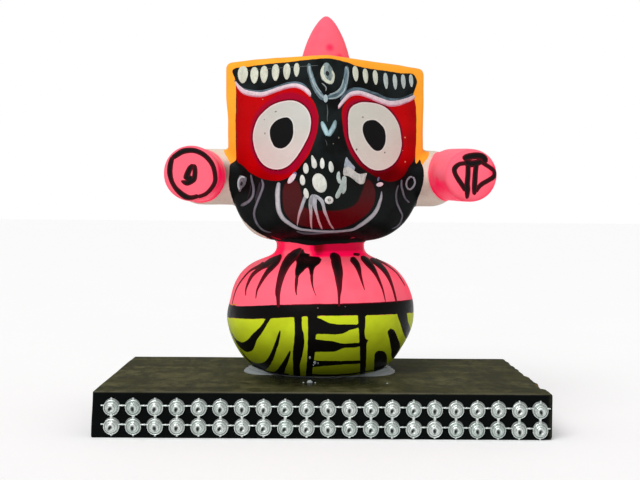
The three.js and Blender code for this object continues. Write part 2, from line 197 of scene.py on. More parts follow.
RIGHT_PUPIL = [
    (11.6, 74.1), (12.9, 74.0), (14.2, 73.1), (15.0, 72.1), (15.4, 70.5), (15.2, 68.3), (14.4, 67.0),
    (13.4, 66.6), (12.3, 66.9), (10.8, 68.4), (9.9, 69.9), (9.5, 71.5), (9.6, 72.8), (10.4, 73.7),
]
LIPS = [
    (-9.1, 58.6), (-9.8, 56.6), (-9.8, 53.3), (-9.1, 51.1), (-7.8, 49.4), (-5.8, 48.3), (-2.2, 47.7),
    (2.1, 47.5), (5.5, 47.9), (8.3, 49.2), (11.0, 51.2), (12.5, 53.5), (12.9, 55.7), (12.5, 57.9),
    (11.2, 59.4), (9.6, 59.4), (0.0, 59.0), (-7.6, 59.0),
]
MOUTH_HOLLOW = [
    (-6.3, 60.5), (-5.7, 57.9), (-5.1, 55.5), (-4.7, 52.9), (-2.3, 52.0), (1.0, 51.8), (4.2, 52.0),
    (6.9, 52.8), (8.4, 54.1), (9.3, 56.1), (9.9, 57.8), (10.4, 60.8), (2.0, 61.5),
]

# Brush strokes, (x, z, width)

BROWS = [
    [(-22.2, 84.2, 0.4), (-21.2, 82.7, 0.9), (-19.8, 81.5, 1.2), (-17.6, 80.8, 1.3),
     (-15.3, 80.5, 1.2), (-13.2, 80.9, 1.1), (-11.1, 81.5, 1.0), (-8.9, 82.0, 1.0), (-7.0, 82.1, 1.0),
     (-5.5, 81.6, 1.0), (-4.1, 80.6, 1.1), (-3.1, 79.3, 0.6)],
    [(3.4, 76.4, 0.45), (4.0, 77.3, 0.65), (5.0, 78.6, 0.9), (6.2, 79.8, 1.0), (7.6, 80.35, 1.1),
     (8.9, 80.4, 1.1), (10.5, 80.1, 1.1), (12.4, 79.5, 1.2), (14.4, 78.9, 1.3), (16.4, 78.5, 1.4),
     (18.4, 78.8, 1.4), (20.4, 79.5, 1.2), (22.3, 80.4, 1.0), (23.0, 80.9, 0.7)],
]
BROW_SHADES = [
    [(-22.4, 84.6, 0.4), (-21.5, 83.2, 0.7), (-20.1, 82.0, 0.9), (-17.8, 81.3, 0.9),
     (-15.4, 81.1, 0.8), (-13.0, 81.5, 0.7), (-10.8, 82.1, 0.7), (-8.7, 82.6, 0.7), (-6.7, 82.6, 0.7),
     (-5.1, 82.0, 0.7), (-3.8, 80.9, 0.4)],
    [(3.9, 78.2, 0.5), (5.0, 79.4, 1.2), (6.8, 80.7, 1.5), (9.0, 81.0, 1.4), (11.0, 80.7, 1.1),
     (13.0, 80.4, 0.8), (15.0, 79.7, 0.8), (17.0, 79.4, 0.8), (19.3, 79.7, 0.8), (21.3, 80.6, 0.7),
     (22.7, 81.5, 0.4)],
]
FOREHEAD_U = [
    (-3.7, 87.1, 0.8), (-3.5, 85.4, 1.15), (-3.0, 83.7, 1.25), (-2.5, 82.1, 1.3), (-1.8, 80.6, 1.35),
    (-1.0, 79.4, 1.35), (-0.2, 78.6, 1.3), (1.1, 78.7, 1.1), (2.0, 79.0, 1.25), (2.9, 79.3, 1.3),
    (3.8, 79.9, 1.45), (4.6, 80.9, 1.5), (5.0, 82.3, 1.4), (5.3, 84.0, 1.25), (5.4, 85.5, 1.15),
    (5.5, 86.6, 0.8),
]
FOREHEAD_U_HAIR = [
    [(-3.6, 86.5, 0.7), (-3.2, 84.4, 0.5), (-2.6, 82.4, 0.45), (-1.7, 80.5, 0.45), (-0.7, 79.2, 0.5),
     (0.1, 78.5, 0.5)],
    [(-2.9, 84.4, 0.15), (-2.3, 82.5, 0.22), (-1.4, 80.9, 0.22), (-0.6, 79.9, 0.15)],
    [(1.2, 79.3, 0.3), (2.5, 79.8, 0.4), (3.6, 80.6, 0.5), (4.3, 81.8, 0.4), (4.7, 83.4, 0.3)],
    [(1.0, 78.4, 0.35), (2.4, 78.6, 0.45), (3.6, 79.2, 0.45), (4.7, 80.4, 0.4), (5.3, 82.3, 0.3)],
    [(5.1, 86.3, 0.6), (5.7, 85.4, 0.5), (5.7, 83.8, 0.35), (5.4, 82.0, 0.25)],
]
DROP_MARK = [
    (0.1, 86.8), (0.8, 86.9), (1.6, 86.1), (2.2, 85.0), (2.5, 83.9), (2.4, 82.6), (1.9, 81.8),
    (1.2, 81.7), (0.3, 82.2), (-0.6, 82.9), (-0.9, 83.9), (-0.8, 85.1), (-0.4, 86.2),
]
DROP_MARK_LIGHT = [
    (0.0, 86.2, 0.5), (-0.4, 85.3, 0.8), (-0.4, 84.2, 1.0), (0.1, 83.1, 1.0), (0.9, 82.4, 0.95),
    (1.7, 82.3, 0.85), (2.1, 83.0, 0.7), (2.2, 84.1, 0.6), (1.8, 85.1, 0.45),
]
DROP_MARK_HOLE = (0.75, 84.3, 1.0, 1.5, -8.0)
SCRIBBLE = [(-0.6, 82.1, 0.2), (0.0, 81.6, 0.3), (0.5, 80.9, 0.3), (0.4, 80.1, 0.2)]
KNOB = (0.4, 78.4, 1.05, 1.95)
CHEVRON = [
    [(-0.5, 73.1, 0.6), (-0.1, 72.0, 1.2), (0.4, 70.9, 1.3), (0.9, 69.9, 1.2), (1.1, 69.5, 0.6)],
    [(2.8, 73.5, 0.6), (2.5, 72.2, 1.2), (2.0, 71.1, 1.25), (1.3, 70.0, 1.2), (1.0, 69.5, 0.6)],
]
RIDGE_SCRATCHES = [
    [(0.7, 77.1, 0.12), (0.9, 75.3, 0.25), (0.8, 73.9, 0.2), (0.9, 72.9, 0.1)],
    [(-21.3, 86.7, 0.08), (-13.7, 86.6, 0.16), (-4.6, 86.4, 0.18), (-1.4, 86.3, 0.1)],
    [(0.3, 68.8, 0.08), (0.7, 68.0, 0.14), (0.8, 67.2, 0.08)],
]
FOREHEAD_DABS = [
    (-20.2, 85.7, 2.7, 4.4), (-17.2, 85.3, 2.1, 4.2), (-14.7, 85.3, 2.0, 4.3), (-11.8, 85.5, 1.9, 4.2),
    (-9.0, 85.5, 1.8, 4.0), (-6.6, 85.7, 1.4, 3.4), (7.6, 84.9, 1.45, 3.8), (10.1, 84.6, 1.35, 3.7),
    (12.6, 84.5, 1.3, 3.7), (15.3, 83.9, 1.2, 4.1), (17.7, 83.9, 1.15, 3.9), (19.9, 84.2, 1.2, 3.7),
    (22.0, 84.6, 1.1, 3.3),
]
NOSE_DABS = [
    (-4.2, 62.0, 1.35, 2.65, -5.0), (-0.3, 63.1, 1.1, 2.7, -2.0), (1.8, 62.3, 1.2, 2.8, -8.0),
    (-5.0, 59.2, 1.3, 2.6, -6.0), (-4.1, 56.0, 1.25, 2.6, -12.0),
]
POINTED_DAB = [
    (-2.75, 65.1, 0.3), (-2.55, 64.3, 0.85), (-2.3, 63.5, 1.25), (-2.15, 62.6, 1.3), (-2.1, 61.9, 0.7),
]
NOSE_TIP = (-0.9, 58.45, 3.35, 4.8, -20.0)
STRAY_DABS = [(-7.6, 59.6, 1.3, 3.1, 38.0), (14.0, 58.4, 1.9, 1.05, -14.0)]
BLUISH_DABS = [(-6.9, 60.6, 1.1, 1.2, 38.0), (13.6, 59.7, 0.5, 1.2, 14.0)]
NOSE_RING = (1.4, 54.4, 2.1, 1.9)
SMEAR_BLUE = [
    (5.5, 64.8), (6.1, 64.1), (7.0, 63.1), (7.7, 62.3), (7.2, 61.4), (5.8, 61.4), (5.0, 62.2),
    (5.1, 63.6),
]
SMEAR_WHITE = [
    (5.0, 62.4), (5.9, 62.7), (6.8, 62.2), (7.7, 61.4), (8.6, 60.9), (9.6, 60.8), (10.7, 61.1),
    (10.4, 60.0), (10.1, 58.7), (9.2, 58.3), (8.2, 58.7), (7.2, 59.5), (6.2, 60.1), (5.5, 60.3),
    (4.8, 60.4), (4.7, 61.5),
]
SMEAR_TAILS = [
    [(5.1, 60.3, 0.9), (4.9, 58.7, 1.4), (4.4, 57.2, 1.4), (3.8, 56.3, 1.1), (3.4, 55.4, 1.1),
     (3.1, 54.8, 0.6)],
    [(5.2, 58.8, 0.8), (5.2, 57.3, 0.8), (4.9, 56.4, 0.7), (4.7, 55.9, 0.4)],
    [(3.7, 61.3, 0.6), (3.6, 60.2, 0.95), (3.7, 59.3, 0.95), (4.2, 58.3, 0.8)],
]
WHISKERS = [
    [(-4.2, 55.4, 1.0), (-4.8, 53.8, 0.84), (-5.3, 52.3, 0.84), (-5.8, 50.8, 0.63), (-6.1, 49.2, 0.42),
     (-6.3, 48.0, 0.15)],
    [(-2.4, 55.8, 0.5), (-2.7, 55.0, 1.1), (-3.0, 53.8, 1.1), (-3.0, 52.7, 0.95), (-2.9, 51.4, 0.77),
     (-2.9, 49.7, 0.6), (-2.8, 48.1, 0.45), (-2.6, 47.3, 0.14)],
    [(-2.2, 55.8, 0.5), (-2.0, 55.0, 1.1), (-2.1, 53.6, 1.15), (-1.8, 52.2, 0.8), (-1.4, 50.8, 0.6),
     (-0.9, 49.1, 0.55), (-0.4, 47.9, 0.5), (-0.1, 47.3, 0.14)],
    [(-2.1, 55.6, 0.55), (-1.1, 54.9, 0.83), (-0.3, 54.1, 0.95), (0.1, 52.9, 0.8), (0.4, 51.7, 0.8),
     (1.0, 50.3, 0.6), (1.7, 48.7, 0.5), (2.4, 47.7, 0.45), (2.8, 47.3, 0.14)],
]
SMILE = [
    (-10.8, 58.8, 0.9), (-11.1, 56.6, 1.3), (-11.1, 54.4, 1.3), (-10.9, 52.2, 1.3), (-10.3, 50.6, 1.2),
    (-9.4, 49.5, 1.1), (-8.2, 48.6, 1.0), (-6.7, 47.7, 0.85), (-5.3, 47.2, 0.7), (-3.2, 47.0, 0.6),
    (0.4, 46.8, 0.6), (3.9, 46.8, 0.6), (7.3, 47.2, 0.7), (9.0, 48.1, 0.95), (11.0, 49.5, 1.1),
    (12.6, 51.0, 1.1), (13.5, 52.4, 1.05), (14.0, 53.8, 0.9), (14.4, 55.2, 0.7), (14.5, 56.8, 0.25),
]
SMILE_EDGE = [
    (-6.5, 46.7, 0.3), (-5.0, 46.3, 0.5), (-3.2, 46.2, 0.6), (-1.0, 46.3, 0.5), (1.2, 46.4, 0.3),
    (4.1, 46.5, 0.15),
]
CHEEK_STROKES = [
    [(-18.0, 60.8, 0.4), (-17.7, 59.2, 0.65), (-17.3, 57.6, 0.7), (-17.3, 56.4, 0.7),
     (-17.6, 55.2, 0.78), (-18.4, 54.2, 0.85), (-19.1, 53.7, 0.85), (-20.1, 53.2, 0.9),
     (-20.8, 52.9, 0.4)],
    [(-15.2, 59.6, 0.4), (-14.8, 58.2, 0.7), (-15.1, 56.8, 0.7), (-15.8, 55.1, 0.7),
     (-16.6, 53.2, 0.7), (-17.1, 51.8, 0.65), (-17.2, 50.4, 0.65), (-16.8, 49.0, 0.65),
     (-16.0, 47.7, 0.6), (-14.9, 46.8, 0.5), (-13.6, 46.3, 0.35), (-12.8, 46.3, 0.2)],
    [(19.7, 59.8, 0.5), (19.7, 58.2, 0.58), (20.1, 56.7, 0.6), (20.7, 55.2, 0.55), (21.5, 54.4, 0.5),
     (22.0, 54.0, 0.65)],
    [(18.9, 58.4, 0.35), (18.4, 56.8, 0.5), (18.4, 55.0, 0.55), (18.8, 53.5, 0.6), (19.6, 52.0, 0.6),
     (20.2, 50.8, 0.5), (20.0, 49.5, 0.5), (19.5, 48.5, 0.5), (18.7, 47.8, 0.4), (17.5, 47.3, 0.2)],
]
CHEEK_HAZE = [
    [(-18.0, 58.2, 0.28), (-18.1, 57.1, 0.38), (-18.4, 55.9, 0.38), (-18.9, 54.8, 0.25)],
    [(-15.6, 58.9, 0.3), (-15.9, 57.1, 0.85), (-16.4, 55.3, 0.85), (-16.8, 54.0, 0.4)],
]
LEFT_LEAF = [
    (-20.8, 60.6), (-19.9, 60.4), (-19.1, 60.0), (-19.2, 58.9), (-19.7, 57.8), (-20.4, 57.2),
    (-20.6, 56.6), (-21.0, 56.4), (-21.3, 56.8), (-21.5, 57.8), (-21.5, 59.0), (-21.2, 60.0),
]
LEAF_LIGHT = [
    (-19.5, 59.9, 0.4), (-20.2, 60.2, 0.5), (-20.9, 59.8, 0.55), (-21.2, 58.9, 0.6),
    (-21.2, 57.8, 0.6), (-20.9, 57.0, 0.5),
]
LEAF_HOLE = (-20.4, 58.5, 0.8, 1.3, 14.0)
RIGHT_LEAF_RING = [
    (22.6, 60.5, 0.5), (23.0, 60.0, 0.5), (23.2, 59.0, 0.5), (22.8, 58.0, 0.5), (22.1, 57.4, 0.5),
    (21.4, 57.6, 0.5), (21.0, 58.5, 0.5), (21.2, 59.6, 0.5), (21.9, 60.4, 0.5), (22.6, 60.5, 0.5),
]
CHIN_GLINT = [(7.0, 44.8, 0.15), (7.6, 45.1, 0.4), (8.2, 45.1, 0.15)]
JAW_RED = [(-13.0, 45.3, 0.12), (-12.2, 44.9, 0.22), (-11.3, 44.6, 0.28), (-10.5, 44.4, 0.2)]
GREY_SPECKS = [(3.6, 69.3, 0.4, 0.45, 0.0), (2.3, 67.8, 0.3, 0.3, 0.0)]
SPECKS = [
    (20.5, 70.3, 0.4, 0.4, 0.0), (20.6, 64.2, 0.35, 0.4, 0.0), (19.9, 67.0, 0.2, 0.2, 0.0),
    (-15.0, 79.2, 0.3, 0.2, 0.0),
]
EYE_SPECKS = [
    (-11.7, 76.0, 0.55, 0.28, -25.0), (-14.6, 74.2, 0.25, 0.25, 0.0), (-14.4, 70.8, 0.25, 0.6, 0.0),
    (9.5, 74.6, 0.45, 0.3, -10.0), (8.0, 66.7, 0.4, 0.6, 30.0), (15.2, 66.3, 0.35, 0.45, 20.0),
]

COLLAR_STROKES = [
    [(-14.6, 38.7, 1.1), (-15.5, 38.0, 0.9), (-18.1, 36.6, 0.5), (-20.0, 34.5, 0.4),
     (-21.5, 32.2, 0.33), (-22.3, 29.9, 0.25), (-22.7, 27.9, 0.2)],
    [(-10.9, 40.3, 0.8), (-13.2, 38.8, 1.8), (-15.4, 37.4, 1.1), (-17.3, 35.8, 0.95),
     (-18.4, 33.9, 0.7), (-19.0, 32.1, 0.4), (-19.0, 30.6, 0.2)],
    [(-10.4, 40.8, 0.8), (-11.3, 39.3, 1.6), (-12.5, 37.9, 1.6), (-13.8, 36.3, 1.2),
     (-15.0, 34.4, 0.86), (-16.0, 32.4, 0.54), (-16.3, 30.7, 0.27), (-16.3, 30.1, 0.15)],
    [(-5.2, 42.4, 0.75), (-6.8, 40.9, 2.3), (-8.7, 39.0, 2.5), (-9.8, 36.6, 2.0), (-10.5, 34.0, 1.6),
     (-10.8, 32.0, 1.4), (-10.7, 30.5, 1.0), (-10.6, 28.4, 0.8)],
    [(-6.2, 36.2, 0.7), (-6.3, 34.6, 0.85), (-6.4, 32.8, 0.55), (-6.2, 31.4, 0.2)],
    [(-2.6, 36.4, 0.8), (-2.6, 35.3, 0.7), (-2.4, 33.8, 0.4), (-2.0, 32.5, 0.2), (-1.5, 31.4, 0.14)],
    [(2.0, 41.2, 1.3), (3.2, 40.1, 2.6), (3.5, 38.8, 2.7), (3.9, 36.8, 2.4), (4.0, 34.9, 1.8),
     (4.1, 32.9, 1.2), (4.0, 31.3, 0.7), (4.0, 28.9, 0.5)],
    [(7.1, 40.2, 1.6), (8.3, 39.0, 1.7), (8.9, 37.7, 1.4), (9.2, 36.4, 0.9), (9.6, 34.9, 0.6),
     (10.0, 33.6, 0.34), (10.3, 32.6, 0.15)],
    [(7.7, 41.0, 0.76), (9.6, 40.8, 0.8)],
    [(9.8, 40.4, 1.1), (11.3, 39.1, 1.9), (12.5, 37.6, 1.5), (13.4, 36.1, 1.0), (14.2, 34.3, 0.7),
     (14.9, 32.3, 0.44), (15.5, 29.7, 0.22)],
    [(12.1, 39.7, 1.0), (13.7, 38.8, 1.5), (15.1, 37.5, 1.4), (16.2, 36.0, 1.2), (17.0, 34.3, 0.87),
     (17.6, 32.5, 0.67), (18.1, 30.7, 0.6), (18.4, 29.3, 0.47)],
    [(13.6, 39.6, 0.5), (15.6, 38.6, 0.46), (17.1, 37.6, 0.38), (18.8, 36.2, 0.33), (20.0, 34.6, 0.33),
     (21.0, 32.9, 0.18)],
]
SKIRT_STROKES = [
    [(-16.8, 11.6, 0.4), (-14.0, 11.5, 0.45), (-11.0, 11.4, 0.5), (-8.0, 11.4, 0.4)],
    [(-3.9, 11.7, 0.5), (0.8, 11.5, 0.5), (4.5, 11.5, 0.5), (7.5, 11.6, 0.45), (10.1, 11.8, 0.4),
     (13.2, 12.0, 0.3)],
]
INK_SHAPES = {
    "upper rung": [
        (-2.4, 26.8), (-1.2, 26.4), (-0.2, 26.0), (1.2, 25.3), (3.2, 24.8), (5.8, 24.7), (8.6, 24.6),
        (9.1, 24.2), (8.6, 23.8), (6.4, 23.2), (5.0, 22.5), (3.2, 22.3), (0.6, 22.4), (-1.8, 22.5),
        (-2.6, 23.4), (-2.8, 25.6),
    ],
    "middle rung": [
        (-2.2, 20.8), (0.0, 20.9), (2.6, 20.6), (5.2, 20.0), (8.8, 20.0), (9.2, 19.4), (8.8, 18.9),
        (5.2, 18.8), (3.6, 18.1), (2.4, 17.9), (0.0, 17.95), (-2.2, 18.0),
    ],
    "lower rung": [
        (-2.5, 15.6), (0.0, 15.6), (3.3, 15.5), (9.3, 15.3), (9.3, 14.5), (5.3, 14.5), (1.7, 14.25),
        (-0.6, 14.05), (-2.7, 13.9),
    ],
    "spine": [
        (-3.4, 27.2), (-2.0, 27.2), (-1.7, 24.8), (-1.5, 22.5), (-1.6, 20.9), (-1.7, 17.8),
        (-2.2, 13.9), (-2.5, 10.8), (-3.8, 10.8), (-3.7, 14.5), (-3.5, 18.1), (-3.4, 23.2),
    ],
    "left bar": [
        (-6.6, 27.0), (-5.1, 27.0), (-4.9, 25.0), (-4.8, 23.5), (-4.4, 22.2), (-4.3, 20.6),
        (-4.4, 19.0), (-4.8, 16.7), (-5.3, 14.5), (-5.4, 10.8), (-6.8, 10.8), (-7.0, 14.0),
        (-7.0, 18.0), (-6.6, 22.4),
    ],
    "right bar": [
        (8.6, 27.2), (10.1, 27.2), (10.4, 24.6), (10.3, 23.0), (10.5, 21.1), (11.5, 20.5),
        (10.8, 20.0), (10.9, 16.4), (10.8, 10.8), (9.7, 10.8), (9.4, 14.7), (9.1, 19.3), (8.8, 23.7),
    ],
    "right slope": [
        (18.6, 26.8), (21.0, 26.8), (21.7, 24.0), (22.5, 22.4), (22.8, 20.4), (21.6, 19.4),
        (20.5, 21.2), (19.6, 23.5),
    ],
    "right leaf": [
        (16.0, 22.5), (16.8, 23.1), (17.7, 22.7), (18.7, 20.8), (19.9, 17.9), (19.7, 16.3),
        (18.5, 14.3), (17.7, 15.0), (17.4, 16.9), (16.7, 20.0),
    ],
    "right stub": [
        (13.1, 17.1), (14.6, 17.5), (16.1, 16.3), (16.6, 13.0), (16.3, 11.2), (13.7, 10.8),
        (13.2, 12.0), (13.0, 14.7),
    ],
    "upper hook": [
        (-24.2, 24.6), (-23.5, 21.9), (-21.9, 19.5), (-20.1, 18.8), (-18.6, 19.6), (-16.8, 21.7),
        (-15.0, 23.6), (-13.7, 25.6), (-13.4, 26.6), (-12.3, 26.4), (-12.9, 25.0), (-14.3, 22.6),
        (-15.8, 20.3), (-16.4, 18.9), (-17.1, 17.3), (-18.8, 16.3), (-21.1, 17.5), (-22.9, 20.3),
        (-24.3, 23.8),
    ],
    "lower hook": [
        (-20.7, 17.0), (-19.9, 15.8), (-18.6, 14.3), (-16.8, 13.5), (-14.9, 13.9), (-13.7, 14.9),
        (-12.4, 17.2), (-11.2, 20.4), (-10.0, 23.4), (-10.3, 20.5), (-11.2, 17.5), (-11.9, 15.3),
        (-13.2, 12.9), (-14.2, 11.7), (-15.9, 11.1), (-17.7, 12.4), (-19.4, 14.3),
    ],
    "low spike": [
        (-7.6, 18.3), (-7.9, 16.1), (-9.0, 12.8), (-9.5, 10.8), (-12.6, 10.8), (-11.2, 12.2),
        (-9.4, 15.1),
    ],
    "collar blot": [
        (-6.8, 40.2), (-5.6, 41.5), (-4.7, 42.4), (-4.5, 41.4), (-3.0, 41.0), (-3.3, 40.6),
        (-0.8, 40.4), (-0.1, 39.8), (-0.6, 38.9), (-1.9, 37.9), (-2.2, 36.5), (-2.6, 35.3),
        (-3.1, 36.6), (-3.6, 38.0), (-4.7, 37.0), (-5.6, 36.1), (-6.1, 34.8), (-6.6, 35.4),
        (-6.7, 37.3), (-6.4, 38.9),
    ],
}
HIDDEN_COLLAR = (1, 3, 6, 7, 9, 10)
HIDDEN_INK = ["left bar", "spine", "right leaf", "right stub", "lower hook", "low spike"]
BAND_TOP = [
    (-180, 27.7), (-149, 27.9), (-116, 29.15), (-94, 29.6), (-66, 29.7), (-40, 29.7), (-15, 29.5),
    (90, 28.5), (180, 27.6),
]
BAND_FOOT = [
    (-180, 24.2), (-135, 25.2), (-105, 26.4), (-93, 26.8), (-69, 26.8), (-40, 26.5), (-12, 26.1),
    (90, 25.0), (180, 24.2),
]

BAND_REMNANT = [(-23.3, 27.8, 0.2), (-22.4, 28.0, 0.35), (-21.2, 28.25, 0.2)]
BAND_SPECKS = [(-1.1, 28.6, 0.45), (5.5, 28.9, 0.3)]
# Painted shade on the bare arm roots beside the hands, (x, y, z, radius, strength)
ROOT_SHADE_SPOTS = [(-24.6, -1.5, 61.5, 4.6, 0.85), (25.0, 0.0, 57.5, 4.0, 0.35)]
# Painted shade on the pink: places where it deepens on the forearms' lower and inner sides, the body's sides
# and the crest, (x, y, z, radius, strength)
PINK_SHADE_SPOTS = [
    (1.8, -1.0, 97.6, 1.7, 0.75), (1.6, -2.0, 92.8, 2.0, 0.7), (4.0, -1.0, 90.2, 1.6, 0.6),
    (-24.9, -11.0, 60.0, 4.6, 1.0), (-25.4, -8.0, 57.0, 3.6, 0.95), (28.8, -7.0, 57.6, 2.6, 1.0),
    (30.6, -9.5, 55.9, 2.8, 1.0), (33.5, -13.5, 54.6, 2.4, 0.7), (-29.5, -9.0, 54.2, 4.2, 0.9),
    (-33.5, -9.0, 54.6, 3.2, 0.7), (22.5, 3.0, 32.0, 8.0, 0.45), (19.0, 0.0, 37.0, 6.0, 0.35),
    (-19.5, -2.0, 36.2, 4.5, 0.3), (-24.9, -13.5, 60.5, 5.0, 1.0), (-24.9, -4.0, 60.0, 6.0, 0.9),
    (-27.0, -12.0, 55.5, 4.5, 0.6), (27.5, -3.0, 58.5, 7.5, 0.55), (29.6, -10.5, 57.0, 4.4, 1.0),
    (41.5, -15.8, 61.5, 3.4, 0.8), (-26.2, -13.0, 56.8, 5.2, 1.0), (-28.6, -13.6, 54.8, 4.2, 0.9),
    (-25.2, -8.0, 57.5, 5.0, 1.0), (28.4, -8.0, 57.0, 5.4, 1.0), (31.5, -11.5, 55.0, 4.6, 1.0),
    (36.0, -14.0, 54.4, 3.4, 0.7),
]
RIM_WIDTH = 0.4
RAY_REACH = 120.0
EDGE_DIP = -0.02
UNDERSIDE_DIP = -0.1
STROKE_SECTION = [
    (-1.0, 0.0, EDGE_DIP), (-0.8, 0.62, 0.0), (-0.4, 1.0, 0.0), (0.4, 1.0, 0.0), (0.8, 0.62, 0.0),
    (1.0, 0.0, EDGE_DIP), (0.55, 0.0, UNDERSIDE_DIP), (-0.55, 0.0, UNDERSIDE_DIP),
]
DAB_SECTION = [
    (0.6, 0.0, UNDERSIDE_DIP), (1.0, 0.0, EDGE_DIP), (0.93, 0.55, 0.0), (0.8, 0.85, 0.0),
    (0.5, 1.0, 0.0), (0.22, 0.96, 0.0),
]
LEFT_EMBLEM = [
    [(-35.9, 63.9, 1.2), (-34.7, 64.8, 1.4), (-33.1, 65.7, 1.5), (-30.9, 65.9, 1.35),
     (-29.0, 65.3, 1.3), (-27.4, 64.1, 1.25), (-26.2, 62.4, 1.2), (-25.65, 60.3, 1.15),
     (-25.7, 58.4, 1.1), (-26.8, 56.6, 1.05), (-28.1, 55.5, 1.0), (-29.8, 54.9, 1.0)],
    [(-35.4, 64.4, 0.9), (-35.8, 63.9, 1.2), (-36.2, 62.4, 1.4), (-36.3, 60.5, 1.4),
     (-35.9, 58.7, 1.2), (-35.1, 57.2, 1.2), (-34.0, 56.0, 1.4), (-32.6, 55.0, 1.5),
     (-31.2, 54.75, 1.2), (-29.4, 55.2, 1.1)],
    [(-30.6, 62.7, 0.7), (-30.4, 61.7, 1.2), (-30.4, 60.1, 1.3), (-30.7, 59.0, 1.4),
     (-31.7, 58.4, 1.5), (-32.4, 58.2, 1.4), (-33.2, 58.5, 0.9), (-33.7, 58.7, 0.3)],
    [(-30.6, 62.6, 0.8), (-31.4, 61.9, 1.3), (-31.9, 60.9, 1.5), (-32.3, 59.8, 1.6),
     (-32.5, 58.8, 1.6)],
    [(-30.9, 59.7, 1.4), (-31.8, 59.2, 1.7), (-32.6, 58.9, 1.4)],
]
RIGHT_EMBLEM = [
    [(33.1, 64.0, 1.5), (33.7, 64.7, 1.7), (35.7, 65.1, 1.8), (37.5, 65.0, 1.8), (38.2, 64.3, 1.8),
     (38.0, 63.4, 1.5)],
    [(33.2, 63.9, 1.7), (34.3, 63.3, 1.8), (35.7, 63.3, 1.8), (36.8, 63.6, 1.6), (37.6, 63.9, 1.5)],
    [(34.2, 63.3, 1.3), (34.2, 60.6, 1.35), (34.05, 58.6, 1.4), (34.1, 57.0, 1.5), (34.1, 54.9, 0.8)],
    [(36.2, 63.4, 1.35), (36.0, 61.5, 1.35), (35.9, 59.6, 1.4), (35.8, 57.6, 1.35), (35.8, 55.8, 1.0)],
    [(34.0, 63.4, 1.1), (32.1, 63.1, 1.15), (31.0, 62.1, 1.35), (31.1, 60.9, 1.2), (31.9, 59.5, 1.25),
     (32.9, 58.1, 1.25), (33.8, 56.7, 1.2)],
    [(37.1, 63.9, 1.1), (38.5, 63.0, 1.1), (39.8, 62.2, 1.1), (40.6, 61.4, 1.15), (40.5, 60.3, 1.3),
     (39.2, 59.4, 1.2), (37.5, 58.4, 1.2), (36.6, 57.4, 1.1), (36.1, 56.4, 0.9)],
]
GLUE_SPLASHES = [
    (-2.9, -15.6, 0.7, 0.6), (-1.6, -16.2, 0.2, 0.18), (-4.4, -15.9, 0.24, 0.18),
    (15.6, -16.4, 0.26, 0.2),
]
GLUE_DROPS = [
    (-2.9, 16.4, 0.58, 0.72, 0.0), (-1.7, 15.1, 0.7, 0.8, 0.0), (-0.9, 15.0, 0.32, 0.32, 0.0),
    (-2.0, 14.5, 0.3, 0.3, 0.0),
]

# Rhinestone net

STUD_COLUMNS = 21
STUD_PITCH = 4.873
TRIM_MIDDLE_X = 0.9
TRIM_BOW = 0.47
UPPER_ROW = (6.82, -0.0017)
LOWER_ROW = (2.39, -0.0043)
STUD_RADIUS = 1.8
STUD_HEIGHT = 1.25
LINK_RISE = 0.55
LINK_THICKNESS = 0.4
TIE_WIDTH = 0.8
NUB_REACH = 0.4

# Camera

CAMERA_PLACE = (-2.39, -279.0, 52.49)
CAMERA_TURNS = (0.369, 1.653, 0.417)
CAMERA_LENS = 62.22
FLOOR_HALF = 4.0
KEY_PLACE = (-0.32, -0.56, 0.77)


# Settings

def shade(red, green, blue):
    """A paint colour from the three 0 to 255 values that a colour picker shows."""
    parts = [value / 255 for value in (red, green, blue)]
    return tuple(v / 12.92 if v <= 0.04045 else ((v + 0.055) / 1.055) ** 2.4 for v in parts)


def length(name, description, millimetres, smallest=0.0):
    """A size that a user can change."""
    return bpy.props.FloatProperty(
        name=name, description=description, default=millimetres * MM, min=smallest * MM,
        unit="LENGTH", subtype="DISTANCE", precision=5,
    )


def colour(name, description, red, green, blue):
    """A colour that a user can change."""
    return bpy.props.FloatVectorProperty(
        name=name, description=description, default=shade(red, green, blue), size=3,
        min=0.0, max=1.0, subtype="COLOR",
    )


